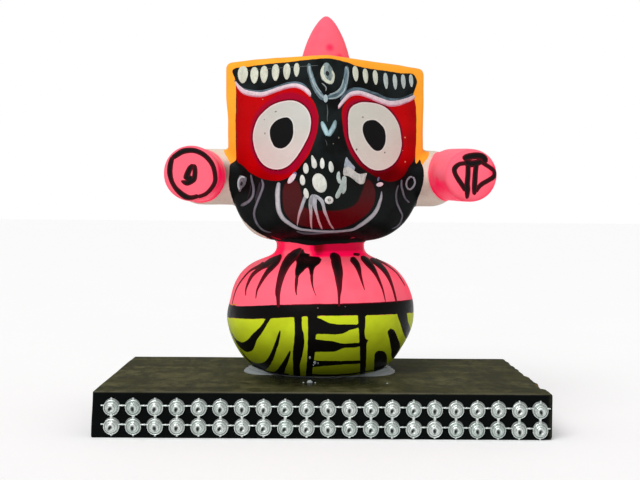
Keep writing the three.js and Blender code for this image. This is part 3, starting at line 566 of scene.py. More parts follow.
class CastingSettings(bpy.types.PropertyGroup):
    """Sizes and paints of the cast figure."""

    skin_step: length("Skin step", "Distance between the points of the casting's skin", 0.475, 0.2)
    hand_waviness: length("Waviness", "How uneven the hand-finished casting is", 0.09)
    wobble: length("Brush wobble", "How far a painted edge wanders", 0.1)
    soft_edge: length("Edge softness", "Half the width over which two paints meet", 0.05)
    coat: length("Coat thickness", "Thickness of one coat of paint", 0.05)
    softening: bpy.props.IntProperty(
        name="Softening", description="Rounds of smoothing on the casting's arrises",
        default=6, min=0, max=40,
    )
    pink: colour("Pink", "Fluorescent pink of body, hands and crest", 255, 104, 124)
    # Painted shade: the deep pink darkens the pink where it lies in shade, and also tints random patches
    deep_pink: colour("Deep pink", "Pink where the paint lies thick", 250, 14, 66)
    # Painted shadow: the darkest red, on the neck under the chin
    neck_shadow_pink: colour("Clotted pink", "Darkest red of the neck", 122, 0, 14)
    lime: colour("Lime", "Green of the skirt", 210, 226, 38)
    # Painted shade: the lime darkens towards the foot, under the belly's curve
    lime_foot: colour("Lime at the foot", "Green of the skirt near the plinth", 138, 150, 16)
    orange: colour("Orange", "Border round the face", 255, 168, 46)
    black: colour("Black", "Face", 28, 34, 35)
    black_shade: colour("Dark black", "Darker patches of the face", 14, 16, 15)
    soot: colour("Soot black", "Chin, band and strokes on the body", 14, 12, 11)
    red: colour("Red", "Field round the eyes", 196, 0, 6)
    # Painted shade: the dark red lies near the nose, under the eyes and at both far sides
    red_shade: colour("Dark red", "Red near the nose and under the eyes", 98, 0, 4)
    crimson: colour("Crimson", "Ring round each eye", 168, 4, 42)
    eye_white: colour("Eye white", "White of the eyes, upper part", 205, 206, 198)
    eye_blush: colour("Eye blush", "White of the eyes, lower part", 216, 203, 197)
    pupil: colour("Pupil", "Black of the eyes", 20, 21, 22)
    lips: colour("Lips", "Maroon of the mouth", 78, 26, 28)
    lips_deep: colour("Deep lips", "Redder part of the mouth", 94, 0, 8)
    bare: colour("Bare casting", "Off-white casting where it isn't painted", 228, 221, 206)
    # Painted shade: the dark colour of the bare casting beside the hands
    grime: colour("Grime", "Dirt on the bare casting beside the hands", 122, 98, 88)


class BrushSettings(bpy.types.PropertyGroup):
    """Paints and thickness of the brush strokes."""

    rise: length("Stroke height", "How far a stroke stands on the paint below", 0.1, 0.02)
    cream: colour("Cream", "Dabs on forehead and nose", 222, 226, 206)
    mist: colour("Mist blue", "Forehead strokes", 116, 140, 150)
    light_mist: colour("Light mist", "Light hairs in the forehead strokes", 186, 204, 208)
    dusk: colour("Dusk blue", "Shaded side of the brows", 98, 120, 132)
    lilac: colour("Lilac", "Brows", 240, 216, 224)
    ash: colour("Ash", "Smile, whiskers and cheek strokes", 180, 182, 188)
    dim_ash: colour("Dim ash", "Thin strokes on the cheeks", 148, 150, 160)
    ink: colour("Ink", "Strokes on body and hands", 20, 16, 16)
    maroon: colour("Maroon", "Thin edge of a stroke on pink", 122, 0, 24)
    peach: colour("Peach", "Specks on the red", 232, 150, 120)


class PlinthSettings(bpy.types.PropertyGroup):
    """Sizes and paints of the wooden block."""

    width: length("Width", "Width of the plinth", PLINTH_SIZE[0], 20.0)
    depth: length("Depth", "Depth of the plinth", PLINTH_SIZE[1], 20.0)
    height: length("Height", "Height of the plinth", PLINTH_SIZE[2], 4.0)
    arris: length("Arris radius", "Radius of the sanded edges", 0.36, 0.05)
    splinter: length("Splinter depth", "Depth of the torn place on the right upper edge", 0.75)
    front: colour("Front", "Black paint of the sides", 7, 11, 10)
    # The top is lighter than the sides: partly dust and thin paint, partly a painted sheen that stands for
    # the top's reflection
    top: colour("Top", "Thin paint on the top", 48, 49, 29)
    dust: colour("Dust", "Dusty streaks on the top", 108, 106, 74)
    rubbed: colour("Rubbed edge", "Edge where the paint is worn", 92, 90, 76)
    wood: colour("Torn wood", "Wood in the torn place", 124, 94, 34)


class GlueSettings(bpy.types.PropertyGroup):
    """Sizes and tint of the hardened glue."""

    thickness: length("Thickness", "Thickness of the glue under the foot", 0.6, 0.1)
    mound_height: length("Mound height", "Height of the two mounds", GLUE_MOUND_HEIGHT)
    tint: colour("Tint", "Faint milky tint of the glue", 214, 226, 236)


class TrimSettings(bpy.types.PropertyGroup):
    """Sizes and plating of the rhinestone net."""

    columns: bpy.props.IntProperty(
        name="Columns", description="Studs in one row", default=STUD_COLUMNS, min=2, max=60,
    )
    pitch: length("Pitch", "Distance between two studs", STUD_PITCH, 3.0)
    stud_radius: length("Stud radius", "Radius of a stud", STUD_RADIUS, 0.5)
    stud_height: length("Stud height", "Height of a stud", STUD_HEIGHT, 0.2)
    upper_row: length("Upper row", "Height of the upper row's middle", UPPER_ROW[0])
    lower_row: length("Lower row", "Height of the lower row's middle", LOWER_ROW[0])
    seed: bpy.props.IntProperty(name="Seed", description="Seed of the studs' small turns", default=4)
    plating: colour("Plating", "Silver-green plating", 240, 246, 242)
    # Painted shade and reflection: the dark of the grooves, dimples and flanges, and also of random tarnish
    tarnish: colour("Tarnish", "Darker plating in hollows", 30, 35, 34)


class StageSettings(bpy.types.PropertyGroup):
    """Floor, light and camera."""

    floor: colour("Floor", "Plain pale floor", 250, 250, 250)
    sky_strength: bpy.props.FloatProperty(
        name="Sky strength", description="Strength of the pale light all round", default=0.5, min=0.0,
    )
    key_strength: bpy.props.FloatProperty(
        name="Key strength", description="Strength of the soft light from the upper left",
        default=1.6, min=0.0,
    )
    floor_glow: bpy.props.FloatProperty(
        name="Floor glow", description="Light that the pale floor gives off by itself", default=0.14, min=0.0,
    )
    lens: bpy.props.FloatProperty(
        name="Lens", description="Focal length of the camera", default=CAMERA_LENS, min=10.0,
        subtype="DISTANCE_CAMERA", unit="CAMERA",
    )


# Curves, noise and distances

def through(points, step, closed=False):
    """Points about one step apart on a smooth curve through the given ones."""
    given = np.asarray(points, float)
    if closed:
        given = np.vstack([given[-1:], given, given[:2]])
    else:
        given = np.vstack([2 * given[0] - given[1], given, 2 * given[-1] - given[-2]])
    pieces = []
    for a, b, c, d in zip(given, given[1:], given[2:], given[3:]):
        count = max(1, round(np.linalg.norm(c[:2] - b[:2]) / step))
        t = np.arange(count)[:, None] / count
        bend = (c - a) * t + (2 * a - 5 * b + 4 * c - d) * t ** 2 + (3 * b - a - 3 * c + d) * t ** 3
        pieces.append(b + bend / 2)
    if not closed:
        pieces.append(given[-2:-1])
    return np.vstack(pieces)


def ease(value, low, high):
    """Rises smoothly from 0 to 1 as the value goes from low to high."""
    share = np.clip((np.asarray(value, float) - low) / (high - low), 0, 1)
    return share * share * (3 - 2 * share)


def unevenness(spots, grain, seed):
    """Smooth values from -1 to 1 at places in millimetres, with lumps about one grain across."""
    cell = np.floor(spots / grain)
    share = spots / grain - cell
    share = share * share * (3 - 2 * share)
    total = np.zeros(len(spots))
    for corner in itertools.product((0, 1), repeat=3):
        key = (cell + corner).astype(np.int64) @ np.array([73856093, 19349663, 83492791])
        key = (key + seed * 2654435) % 2147483647
        key = (key ^ (key >> 13)) * 12745 % 2147483647
        key = (key ^ (key >> 11)) * 16807 % 2147483647
        value = (key % 65536) / 32767.5 - 1
        total += value * np.prod(np.where(np.array(corner) == 1, share, 1 - share), axis=1)
    return total


def depth_inside(outline, spots):
    """How far flat spots lie inside a closed outline, negative outside, in millimetres."""
    curve = through(outline, 0.7, closed=True)
    margin = 3.0
    near = np.all((spots > curve.min(axis=0) - margin) & (spots < curve.max(axis=0) + margin), axis=1)
    depth = np.full(len(spots), -FAR)
    depth[near] = depth_near(curve, spots[near])
    return depth


def depth_near(curve, spots):
    """The same for a dense closed curve and the spots close to it."""
    nearest = np.full(len(spots), 1e9)
    within = np.zeros(len(spots), bool)
    for start, end in zip(curve, np.roll(curve, -1, axis=0)):
        way = end - start
        away = spots - start
        share = np.clip(away @ way / max(way @ way, 1e-12), 0, 1)
        nearest = np.minimum(nearest, np.hypot(*(away - share[:, None] * way).T))
        straddles = (start[1] > spots[:, 1]) != (end[1] > spots[:, 1])
        if straddles.any():
            crossing = start[0] + way[0] * (spots[:, 1] - start[1]) / way[1]
            within ^= straddles & (spots[:, 0] < crossing)
    return np.where(within, nearest, -nearest)


# Meshes

def skin(rings):
    """A closed skin over rings of equal length, listed from the bottom up, as (points, faces)."""
    count = len(rings[0])
    points = list(np.vstack(rings))
    faces = []
    for level in range(len(rings) - 1):
        for side in range(count):
            a = level * count + side
            b = level * count + (side + 1) % count
            faces.append((a, b, b + count, a + count))
    foot = len(points)
    points.append(np.mean(rings[0], axis=0))
    points.append(np.mean(rings[-1], axis=0))
    last = (len(rings) - 1) * count
    for side in range(count):
        after = (side + 1) % count
        faces.append((foot, after, side))
        faces.append((foot + 1, last + side, last + after))
    return np.array(points), faces


def gathered(shells):
    """Several (points, faces) shells as one."""
    points = []
    faces = []
    start = 0
    for shell_points, shell_faces in shells:
        points.append(shell_points)
        faces.extend([tuple(index + start for index in face) for face in shell_faces])
        start += len(shell_points)
    return np.vstack(points), faces


def mesh_from(name, points, faces):
    """A smooth mesh with outward faces from points in millimetres."""
    mesh = bpy.data.meshes.new(name)
    mesh.from_pydata((np.asarray(points) * MM).tolist(), [], faces)
    turn_outwards(mesh)
    mesh.polygons.foreach_set("use_smooth", [True] * len(mesh.polygons))
    mesh.update()
    return mesh


def turn_outwards(mesh):
    """Makes every face of a closed mesh point outwards."""
    work = bmesh.new()
    work.from_mesh(mesh)
    bmesh.ops.recalc_face_normals(work, faces=work.faces)
    work.to_mesh(mesh)
    work.free()


def placed(name, mesh):
    """A new object at the origin that shows a mesh."""
    piece = bpy.data.objects.new(name, mesh)
    bpy.context.scene.collection.objects.link(piece)
    return piece


def settle(piece):
    """Turns what a piece's modifiers make into its plain mesh."""
    seen = bpy.context.evaluated_depsgraph_get()
    seen.update()
    shape = bpy.data.meshes.new_from_object(
        piece.evaluated_get(seen), preserve_all_data_layers=True, depsgraph=seen,
    )
    piece.modifiers.clear()
    old = piece.data
    piece.data = shape
    bpy.data.meshes.remove(old)
    shape.name = piece.name


def points_of(mesh):
    """A mesh's points in millimetres."""
    flat = np.empty(len(mesh.vertices) * 3)
    mesh.vertices.foreach_get("co", flat)
    return flat.reshape(-1, 3) / MM


def set_points(mesh, points):
    """Moves a mesh's points, given in millimetres."""
    mesh.vertices.foreach_set("co", (points * MM).ravel())
    mesh.update()


def note(mesh, name, values, kind="FLOAT", field="value"):
    """Stores one value for each point of a mesh."""
    kept = mesh.attributes.get(name) or mesh.attributes.new(name=name, type=kind, domain="POINT")
    kept.data.foreach_set(field, np.asarray(values, float).ravel())


def hand_over(piece, node):
    """Lets a finished piece ride on the part, in place of its plain node where it has one."""
    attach(piece, "root")
    if node:
        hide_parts(node)


# Node wiring

def add(tree, kind, **settings):
    """Adds a node with its settings."""
    made = tree.nodes.new(kind)
    for name, value in settings.items():
        setattr(made, name, value)
    return made


def socket(sockets, name):
    """The socket of that name that is in use on a node."""
    return next(one for one in sockets if one.name == name and one.enabled)


def feed(tree, target, value):
    """Gives an input a number, a colour or another node's output."""
    if isinstance(value, bpy.types.NodeSocket):
        tree.links.new(value, target)
    elif target.type == "RGBA":
        target.default_value = (*value, 1.0)
    else:
        target.default_value = value


def give(tree, inputs, **values):
    """Gives a node's inputs their values; spaces in names are written as underscores."""
    for name, value in values.items():
        feed(tree, socket(inputs, name.replace("_", " ")), value)


def reckon(tree, operation, *numbers):
    """The result of one operation on numbers."""
    made = add(tree, "ShaderNodeMath", operation=operation)
    for target, value in zip(made.inputs, numbers):
        feed(tree, target, value)
    return made.outputs[0]


def times(tree, first, second):
    """The product of two numbers."""
    return reckon(tree, "MULTIPLY", first, second)


def largest(tree, first, *others):
    """The largest of some numbers."""
    for other in others:
        first = reckon(tree, "MAXIMUM", first, other)
    return first


def scaled(tree, vector, factor):
    """A colour or a vector times a number."""
    made = add(tree, "ShaderNodeVectorMath", operation="SCALE")
    feed(tree, made.inputs[0], vector)
    give(tree, made.inputs, Scale=factor)
    return made.outputs[0]


def ramp(tree, value, low, high, start=0.0, end=1.0):
    """A number that goes smoothly from start to end as the value goes from low to high."""
    made = add(tree, "ShaderNodeMapRange", interpolation_type="SMOOTHSTEP")
    give(tree, made.inputs, Value=value, From_Min=low, From_Max=high, To_Min=start, To_Max=end)
    return made.outputs[0]


def blend(tree, share, first, second):
    """Two colours mixed."""
    made = add(tree, "ShaderNodeMix", data_type="RGBA", clamp_factor=True)
    give(tree, made.inputs, Factor=share, A=first, B=second)
    return socket(made.outputs, "Result")


def attribute(tree, name, output="Fac"):
    """A value that is kept on a mesh's points."""
    return add(tree, "ShaderNodeAttribute", attribute_name=name).outputs[output]


def place(tree, stretch=(1.0, 1.0, 1.0)):
    """The place on the piece in millimetres, squeezed along each axis by a factor."""
    where = add(tree, "ShaderNodeTexCoord").outputs["Object"]
    made = add(tree, "ShaderNodeMapping")
    give(tree, made.inputs, Vector=where, Scale=[factor / MM for factor in stretch])
    return made.outputs["Vector"]


def grain(tree, where, millimetres, detail=2.0, rough=0.5, twist=0.0):
    """Smooth noise from 0 to 1 with lumps about that many millimetres across."""
    made = add(tree, "ShaderNodeTexNoise")
    fixed = isinstance(millimetres, float)
    scale = 1 / millimetres if fixed else reckon(tree, "DIVIDE", 1.0, millimetres)
    give(tree, made.inputs, Vector=where, Scale=scale, Detail=detail, Roughness=rough, Distortion=twist)
    return made.outputs["Fac"]


def wire_brush_grain(tree, given):
    """Streaks that a brush leaves: a tone near 1 and a relief in millimetres."""
    fine = grain(tree, given["Place"], given["Streak"], 3.0)
    broad = grain(tree, given["Place"], reckon(tree, "DIVIDE", given["Streak"], 0.16), 1.0)
    both = reckon(tree, "ADD", times(tree, fine, 0.5), times(tree, broad, 0.5))
    swing = times(tree, reckon(tree, "SUBTRACT", both, 0.5), given["Contrast"])
    return reckon(tree, "MULTIPLY_ADD", swing, 2.0, 1.0), times(tree, fine, given["Depth"])


def wire_coat_edge(tree, given):
    """How much of a coat covers a place, from its distance inside the painted area."""
    moved = reckon(tree, "ADD", given["Inside"], given["Wander"])
    return [ramp(tree, moved, times(tree, given["Softness"], -1.0), given["Softness"])]


def wire_settled_dust(tree, given):
    """Fine dust: a mask from 0 to 1 that is strongest where the given amount is high."""
    specks = grain(tree, given["Place"], given["Speck"], 4.0, 0.7)
    level = reckon(tree, "SUBTRACT", 0.78, times(tree, given["Amount"], 0.4))
    return [ramp(tree, specks, level, reckon(tree, "ADD", level, 0.12))]


SHARED_GROUPS = {
    "brush_grain": (
        {"Place": None, "Streak": 0.5, "Contrast": 0.1, "Depth": 0.01}, ["Tone", "Relief"], wire_brush_grain,
    ),
    "coat_edge": ({"Inside": 0.0, "Wander": 0.0, "Softness": 0.05}, ["Cover"], wire_coat_edge),
    "settled_dust": ({"Place": None, "Amount": 0.5, "Speck": 0.4}, ["Mask"], wire_settled_dust),
}


def shared_group(name):
    """A shader node group that materials share, wired when it is first asked for."""
    known = bpy.data.node_groups.get(name)
    if known:
        return known
    inputs, outputs, wire = SHARED_GROUPS[name]
    tree = bpy.data.node_groups.new(name, "ShaderNodeTree")
    for label, default in inputs.items():
        kind = "NodeSocketVector" if default is None else "NodeSocketFloat"
        made = tree.interface.new_socket(label, in_out="INPUT", socket_type=kind)
        if default is not None:
            made.default_value = default
    for label in outputs:
        tree.interface.new_socket(label, in_out="OUTPUT", socket_type="NodeSocketFloat")
    results = wire(tree, add(tree, "NodeGroupInput").outputs)
    for target, value in zip(add(tree, "NodeGroupOutput").inputs, results):
        feed(tree, target, value)
    return tree


def use_group(tree, name, **values):
    """Places a shared group in a material with the material's own values."""
    made = add(tree, "ShaderNodeGroup", node_tree=shared_group(name))
    give(tree, made.inputs, **values)
    return made.outputs


def fresh_material(name):
    """A new material with its main shader node."""
    material = bpy.data.materials.new(name)
    material.use_nodes = True
    tree = material.node_tree
    return material, tree, tree.nodes["Principled BSDF"]


def bump(tree, height, strength=1.0):
    """A normal from a height in millimetres."""
    made = add(tree, "ShaderNodeBump")
    give(tree, made.inputs, Strength=strength, Distance=MM, Height=height)
    return made.outputs["Normal"]


# Materials

def figure_paint(settings):
    """The casting's coats, each held to its painted area by a distance kept on the mesh."""
    material, tree, shader = fresh_material("figure_paint")
    where = place(tree)
    soft = settings.soft_edge / MM
    wobble = settings.wobble / MM
    broad_wander = reckon(tree, "SUBTRACT", grain(tree, where, 1.6), 0.5)
    fine_wander = reckon(tree, "SUBTRACT", grain(tree, where, 0.35, 1.0), 0.5)
    wander = times(tree, broad_wander, 2.4 * wobble)
    wander = reckon(tree, "MULTIPLY_ADD", fine_wander, 0.5 * wobble, wander)

    def cover(name, softness):
        inside = attribute(tree, name)
        return use_group(tree, "coat_edge", Inside=inside, Wander=wander, Softness=softness)["Cover"]

    upright = place(tree, (0.35, 0.35, 1.0))
    streaks = use_group(tree, "brush_grain", Place=upright, Streak=0.55, Contrast=0.1, Depth=0.012)
    patches = grain(tree, where, 7.0)
    axes = add(tree, "ShaderNodeSeparateXYZ")
    feed(tree, axes.inputs[0], where)
    x = axes.outputs["X"]
    z = axes.outputs["Z"]

    pits = grain(tree, where, 0.5, 4.0, 0.65)
    bare = blend(tree, ramp(tree, pits, 0.45, 0.75, 0.0, 0.35), settings.bare, shade(188, 172, 158))
    bare = blend(tree, ramp(tree, attribute(tree, "pink"), -0.5, 0.1, 0.0, 0.25), bare, settings.pink)
    # Painted shade on the bare arm roots
    bare = blend(tree, attribute(tree, "grime"), bare, settings.grime)

    orange = blend(tree, ramp(tree, patches, 0.35, 0.7, 0.0, 0.55), settings.orange, shade(250, 146, 30))
    # Painted shade: darker lime towards the foot
    lime = blend(tree, ramp(tree, z, 10.5, 24.5), settings.lime_foot, settings.lime)
    lime = blend(tree, ramp(tree, patches, 0.4, 0.7, 0.0, 0.3), lime, shade(150, 160, 20))
    # Painted shade: above zero the pink darkens towards the deep pink and, on the neck, towards the shadow
    # pink; below zero painted light lies on the barrels
    shaded = attribute(tree, "thick_pink")
    pink_shade_share = ramp(tree, shaded, 0.0, 1.0)
    neck_shadow_share = ramp(tree, shaded, 1.0, 2.0)
    pink = blend(tree, pink_shade_share, settings.pink, settings.deep_pink)
    pink = blend(tree, neck_shadow_share, pink, settings.neck_shadow_pink)
    pink = blend(tree, ramp(tree, patches, 0.45, 0.75, 0.0, 0.22), pink, settings.deep_pink)
    black = blend(tree, ramp(tree, patches, 0.42, 0.66), settings.black, settings.black_shade)
    black = blend(tree, ramp(tree, z, 70.0, 60.0, 0.0, 0.6), black, shade(3, 5, 5))
    black = blend(tree, ramp(tree, z, 44.0, 47.5), settings.soot, black)
    near_edge = ramp(tree, attribute(tree, "black"), 0.26, 0.05)
    blot_rim = times(tree, times(tree, near_edge, ramp(tree, z, 28.8, 29.2)), ramp(tree, z, 43.0, 42.6))
    black = blend(tree, blot_rim, black, shade(130, 0, 28))
    # Painted shade darkens the red field and the crimson ring
    red = blend(tree, attribute(tree, "red_depth"), settings.red, settings.red_shade)
    crimson = blend(tree, attribute(tree, "red_depth"), settings.crimson, shade(112, 4, 28))
    white = blend(tree, ramp(tree, z, 65.0, 74.0), settings.eye_blush, settings.eye_white)
    # Painted light: the right eye's white is lightened
    white = blend(tree, ramp(tree, x, 0.0, 6.0, 0.0, 0.4), white, shade(228, 226, 210))
    lips = blend(tree, attribute(tree, "lips_depth"), settings.lips, settings.lips_deep)

    layers = [
        ("orange", orange, 1.5), ("pink", pink, 1.0), ("lime", lime, 1.0), ("black", black, 1.0),
        ("red", red, 2.0), ("crimson", crimson, 8.0),
    ]
    mixed = bare
    covers = {}
    for name, paint, softer in layers:
        covers[name] = cover(name, soft * softer)
        mixed = blend(tree, covers[name], mixed, paint)

    eye = reckon(tree, "ADD", attribute(tree, "eye_white"), times(tree, wander, 0.5))
    outline = times(tree, ramp(tree, eye, -0.55, -0.2), ramp(tree, eye, -0.02, 0.06, 1.0, 0.0))
    mixed = blend(tree, times(tree, outline, 0.8), mixed, shade(84, 0, 18))
    covers["eye_white"] = ramp(tree, eye, -soft, soft)
    rim = times(tree, covers["eye_white"], ramp(tree, eye, 0.12, 0.42, 0.7, 0.0))
    mixed = blend(tree, covers["eye_white"], mixed, white)
    mixed = blend(tree, rim, mixed, shade(246, 222, 222))
    pupil = reckon(tree, "ADD", attribute(tree, "pupil"), times(tree, wander, 0.6))
    halo = times(tree, ramp(tree, pupil, -0.42, -0.16), 0.45)
    mixed = blend(tree, halo, mixed, shade(240, 236, 230))
    covers["pupil"] = ramp(tree, pupil, -soft, soft)
    mixed = blend(tree, covers["pupil"], mixed, settings.pupil)

    covers["lips"] = cover("lips", soft * 4.0)
    mixed = blend(tree, times(tree, covers["lips"], 0.96), mixed, lips)
    mixed = blend(tree, cover("mouth_hollow", soft * 5.0), mixed, shade(17, 22, 20))

    painted = largest(tree, *(covers[name] for name in ("orange", "pink", "lime", "black")))
    gloss = largest(tree, covers["black"], covers["red"])
    finish = reckon(tree, "SUBTRACT", 0.62, times(tree, painted, 0.2))
    finish = reckon(tree, "SUBTRACT", finish, times(tree, gloss, 0.1))
    finish = reckon(tree, "ADD", finish, ramp(tree, grain(tree, where, 1.1, 3.0), 0.3, 0.7, -0.05, 0.07))

    # Painted light: the pink and orange glow by themselves; the pink glows redder in its painted shade,
    # dimmer in the neck's painted shadow and brighter where painted light lies on the barrels
    unlit = (0.0, 0.0, 0.0)
    pink_glow = blend(tree, pink_shade_share, (1.0, 0.1, 0.16), (2.8, 0.0, 0.3))
    pink_glow = blend(tree, neck_shadow_share, pink_glow, (0.3, 0.0, 0.0))
    pink_glow = blend(tree, ramp(tree, shaded, 0.0, -1.0), pink_glow, (1.6, 0.35, 0.5))
    glow = blend(tree, covers["orange"], unlit, (1.0, 0.42, 0.05))
    glow = blend(tree, covers["pink"], glow, pink_glow)
    glow = blend(tree, largest(tree, covers["lime"], covers["black"]), glow, unlit)

    coat = settings.coat / MM
    coats = {"black": 0.8, "red": 0.6, "crimson": 0.3, "eye_white": 1.0, "pupil": 0.8, "lips": 0.4}
    layered = times(tree, painted, coat)
    for name, share in coats.items():
        layered = reckon(tree, "MULTIPLY_ADD", covers[name], coat * share, layered)
    layered = reckon(tree, "ADD", layered, times(tree, streaks["Relief"], painted))
    layered = reckon(tree, "ADD", layered, ramp(tree, pits, 0.25, 0.75, 0.0, 0.018))
    give(
        tree, shader.inputs, Base_Color=scaled(tree, mixed, streaks["Tone"]), Roughness=finish,
        Emission_Color=glow, Emission_Strength=0.14, Specular_IOR_Level=0.05, Normal=bump(tree, layered, 0.8),
    )
    return material


def brush_paint():
    """Paint of the strokes, its colour and its grain kept on their points."""
    known = bpy.data.materials.get("brush_paint")
    if known:
        return known
    material, tree, shader = fresh_material("brush_paint")
    along = attribute(tree, "along_stroke", "Vector")
    streaks = use_group(tree, "brush_grain", Place=along, Streak=0.16, Contrast=1.0, Depth=0.02)
    thin = ramp(tree, grain(tree, place(tree), 0.8, 3.0), 0.3, 0.75, 1.04, 0.86)
    gap = ramp(tree, streaks["Tone"], 1.08, 0.86)
    left_dark = times(tree, gap, attribute(tree, "paint", "Alpha"))
    tone = times(tree, reckon(tree, "SUBTRACT", 1.0, left_dark), thin)
    give(
        tree, shader.inputs, Base_Color=scaled(tree, attribute(tree, "paint", "Color"), tone),
        Roughness=ramp(tree, streaks["Relief"], 0.0, 0.02, 0.42, 0.6), Specular_IOR_Level=0.1,
        Normal=bump(tree, streaks["Relief"]),
    )
    return material


def plinth_paint(settings):
    """Black paint on wood: satin sides, a thin dusty coat on top with a painted sheen, rubbed edges, and a
    painted shadow with a wet gloss in front of the foot.
    """
    material, tree, shader = fresh_material("plinth_paint")
    where = place(tree)
    with_grain = place(tree, (0.09, 1.0, 1.0))
    top = attribute(tree, "top_face")
    wet = attribute(tree, "wet")
    streaks = use_group(tree, "brush_grain", Place=with_grain, Streak=0.5, Contrast=0.5, Depth=0.05)
    mottle = ramp(tree, grain(tree, place(tree, (0.7, 0.45, 1.0)), 3.0, 6.0, 0.72), 0.4, 0.62)
    streak = ramp(tree, grain(tree, with_grain, 0.9, 4.0, 0.6, 0.3), 0.38, 0.72)
    streak = reckon(tree, "MULTIPLY_ADD", mottle, 0.75, times(tree, streak, 0.35))
    cloud = ramp(tree, grain(tree, place(tree, (0.5, 1.0, 1.0)), 9.0, 3.0), 0.3, 0.7)
    dusty = use_group(tree, "settled_dust", Place=where, Amount=times(tree, cloud, 0.55), Speck=0.5)["Mask"]
    dust_share = times(tree, streak, reckon(tree, "MULTIPLY_ADD", cloud, 0.5, 0.3))
    # Dust and thin paint on the top, with a painted sheen for its reflection
    top_paint = blend(tree, dust_share, settings.top, settings.dust)
    top_paint = blend(tree, times(tree, dusty, 0.35), top_paint, shade(120, 118, 96))
    # Painted shadow in front of the foot, with a wet gloss
    top_paint = blend(tree, times(tree, wet, 0.85), top_paint, shade(16, 17, 10))
    side_cloud = ramp(tree, grain(tree, where, 5.0, 3.0), 0.35, 0.7, 0.0, 0.6)
    side_paint = blend(tree, side_cloud, settings.front, shade(10, 12, 13))
    side_dust = use_group(tree, "settled_dust", Place=where, Amount=0.12, Speck=0.35)["Mask"]
    side_paint = blend(tree, times(tree, side_dust, 0.3), side_paint, shade(92, 96, 94))
    mixed = blend(tree, top, side_paint, top_paint)
    patchy = ramp(tree, grain(tree, place(tree, (0.2, 1.0, 1.0)), 0.8, 4.0, 0.7), 0.25, 0.55)
    worn = times(tree, attribute(tree, "rubbed"), patchy)
    mixed = blend(tree, times(tree, worn, 0.75), mixed, settings.rubbed)
    mixed = blend(tree, attribute(tree, "torn"), mixed, settings.wood)
    finish = ramp(tree, top, 0.0, 1.0, 0.42, 0.62)
    finish = reckon(tree, "ADD", finish, ramp(tree, streak, 0.0, 1.0, -0.04, 0.1))
    finish = reckon(tree, "SUBTRACT", finish, times(tree, wet, 0.46))
    relief = times(tree, streaks["Relief"], ramp(tree, top, 0.0, 1.0, 0.45, 1.0))
    relief = reckon(tree, "ADD", relief, ramp(tree, grain(tree, where, 0.4, 3.0), 0.2, 0.8, 0.0, 0.02))
    give(
        tree, shader.inputs, Base_Color=scaled(tree, mixed, streaks["Tone"]), Roughness=finish,
        Specular_IOR_Level=0.03, Normal=bump(tree, relief),
    )
    return material


def clear_glue(settings):
    """Hardened hot glue: clear with a faint milky tint that is also a painted highlight on the drops and
    splashes, fine waves on its skin.
    """
    known = bpy.data.materials.get("clear_glue")
    if known:
        return known
    material, tree, shader = fresh_material("clear_glue")
    where = place(tree)
    cloud = ramp(tree, grain(tree, where, 1.6, 3.0), 0.3, 0.7)
    milk = blend(tree, cloud, settings.tint, shade(240, 246, 250))
    clear = blend(tree, cloud, shade(72, 74, 64), shade(52, 54, 46))
    waves = ramp(tree, grain(tree, where, 1.2), 0.2, 0.8, 0.0, 0.08)
    # The milky colour is also a painted highlight on the drops and the front splashes
    give(
        tree, shader.inputs, Base_Color=blend(tree, attribute(tree, "milk"), clear, milk),
        Roughness=ramp(tree, grain(tree, where, 0.9, 3.0), 0.3, 0.7, 0.07, 0.24),
        Transmission_Weight=0.82, IOR=1.48, Specular_IOR_Level=0.1, Normal=bump(tree, waves),
    )
    return material


def trim_plating(settings):
    """Plated moulded plastic: bright silver-green, dull in its hollows, darkened there with painted shade and
    painted reflection.
    """
    material, tree, shader = fresh_material("trim_plating")
    where = place(tree)
    hollow = attribute(tree, "hollow")
    tarnish = ramp(tree, grain(tree, where, 0.35, 3.0, 0.6), 0.4, 0.75, 0.0, 0.3)
    tone = times(tree, attribute(tree, "stud_tone"), 0.4)
    plated = blend(tree, tone, settings.plating, shade(186, 208, 200))
    # Painted shade in the grooves, painted reflection in the dimples and flanges, and random tarnish darken
    # the plating
    plated = blend(tree, largest(tree, times(tree, hollow, 0.95), tarnish), plated, settings.tarnish)
    dull = use_group(tree, "settled_dust", Place=where, Amount=0.25, Speck=0.3)["Mask"]
    plated = blend(tree, times(tree, dull, 0.08), plated, shade(236, 240, 236))
    finish = ramp(tree, grain(tree, where, 0.5), 0.3, 0.7, 0.2, 0.34)
    waves = ramp(tree, grain(tree, where, 0.22), 0.2, 0.8, 0.0, 0.02)
    give(
        tree, shader.inputs, Base_Color=plated, Metallic=0.75,
        Roughness=reckon(tree, "ADD", finish, times(tree, hollow, 0.25)), Normal=bump(tree, waves),
    )
    return material


def floor_paint(settings):
    """A plain pale sheet with a faint unevenness."""
    material, tree, shader = fresh_material("floor_paint")
    where = place(tree)
    share = ramp(tree, grain(tree, where, 60.0), 0.3, 0.7, 0.0, 0.3)
    give(
        tree, shader.inputs, Base_Color=blend(tree, share, settings.floor, shade(246, 246, 246)),
        Roughness=ramp(tree, grain(tree, where, 3.0), 0.3, 0.7, 0.8, 0.9),
        Emission_Color=(1.0, 1.0, 1.0), Emission_Strength=settings.floor_glow,
    )
    return material


# The casting

def circle(radius, count):
    """Points round a circle, as (count, 2)."""
    turn = np.arange(count) / count * 2 * math.pi
    return np.stack([np.cos(turn), np.sin(turn)], axis=1) * radius


def level_ring(middle, radius, z, count, flatness=1.0):
    """A level ring of points, flattened from front to back by a factor."""
    return np.column_stack([circle(radius, count) * (1, flatness) + middle, np.full(count, z)])


def body_profile():
    """The turned body's [radius, height] line."""
    return np.vstack([[(FOOT_RADIUS - 0.5, FOOT_Z)], through(FLANK, 0.6), NECK])


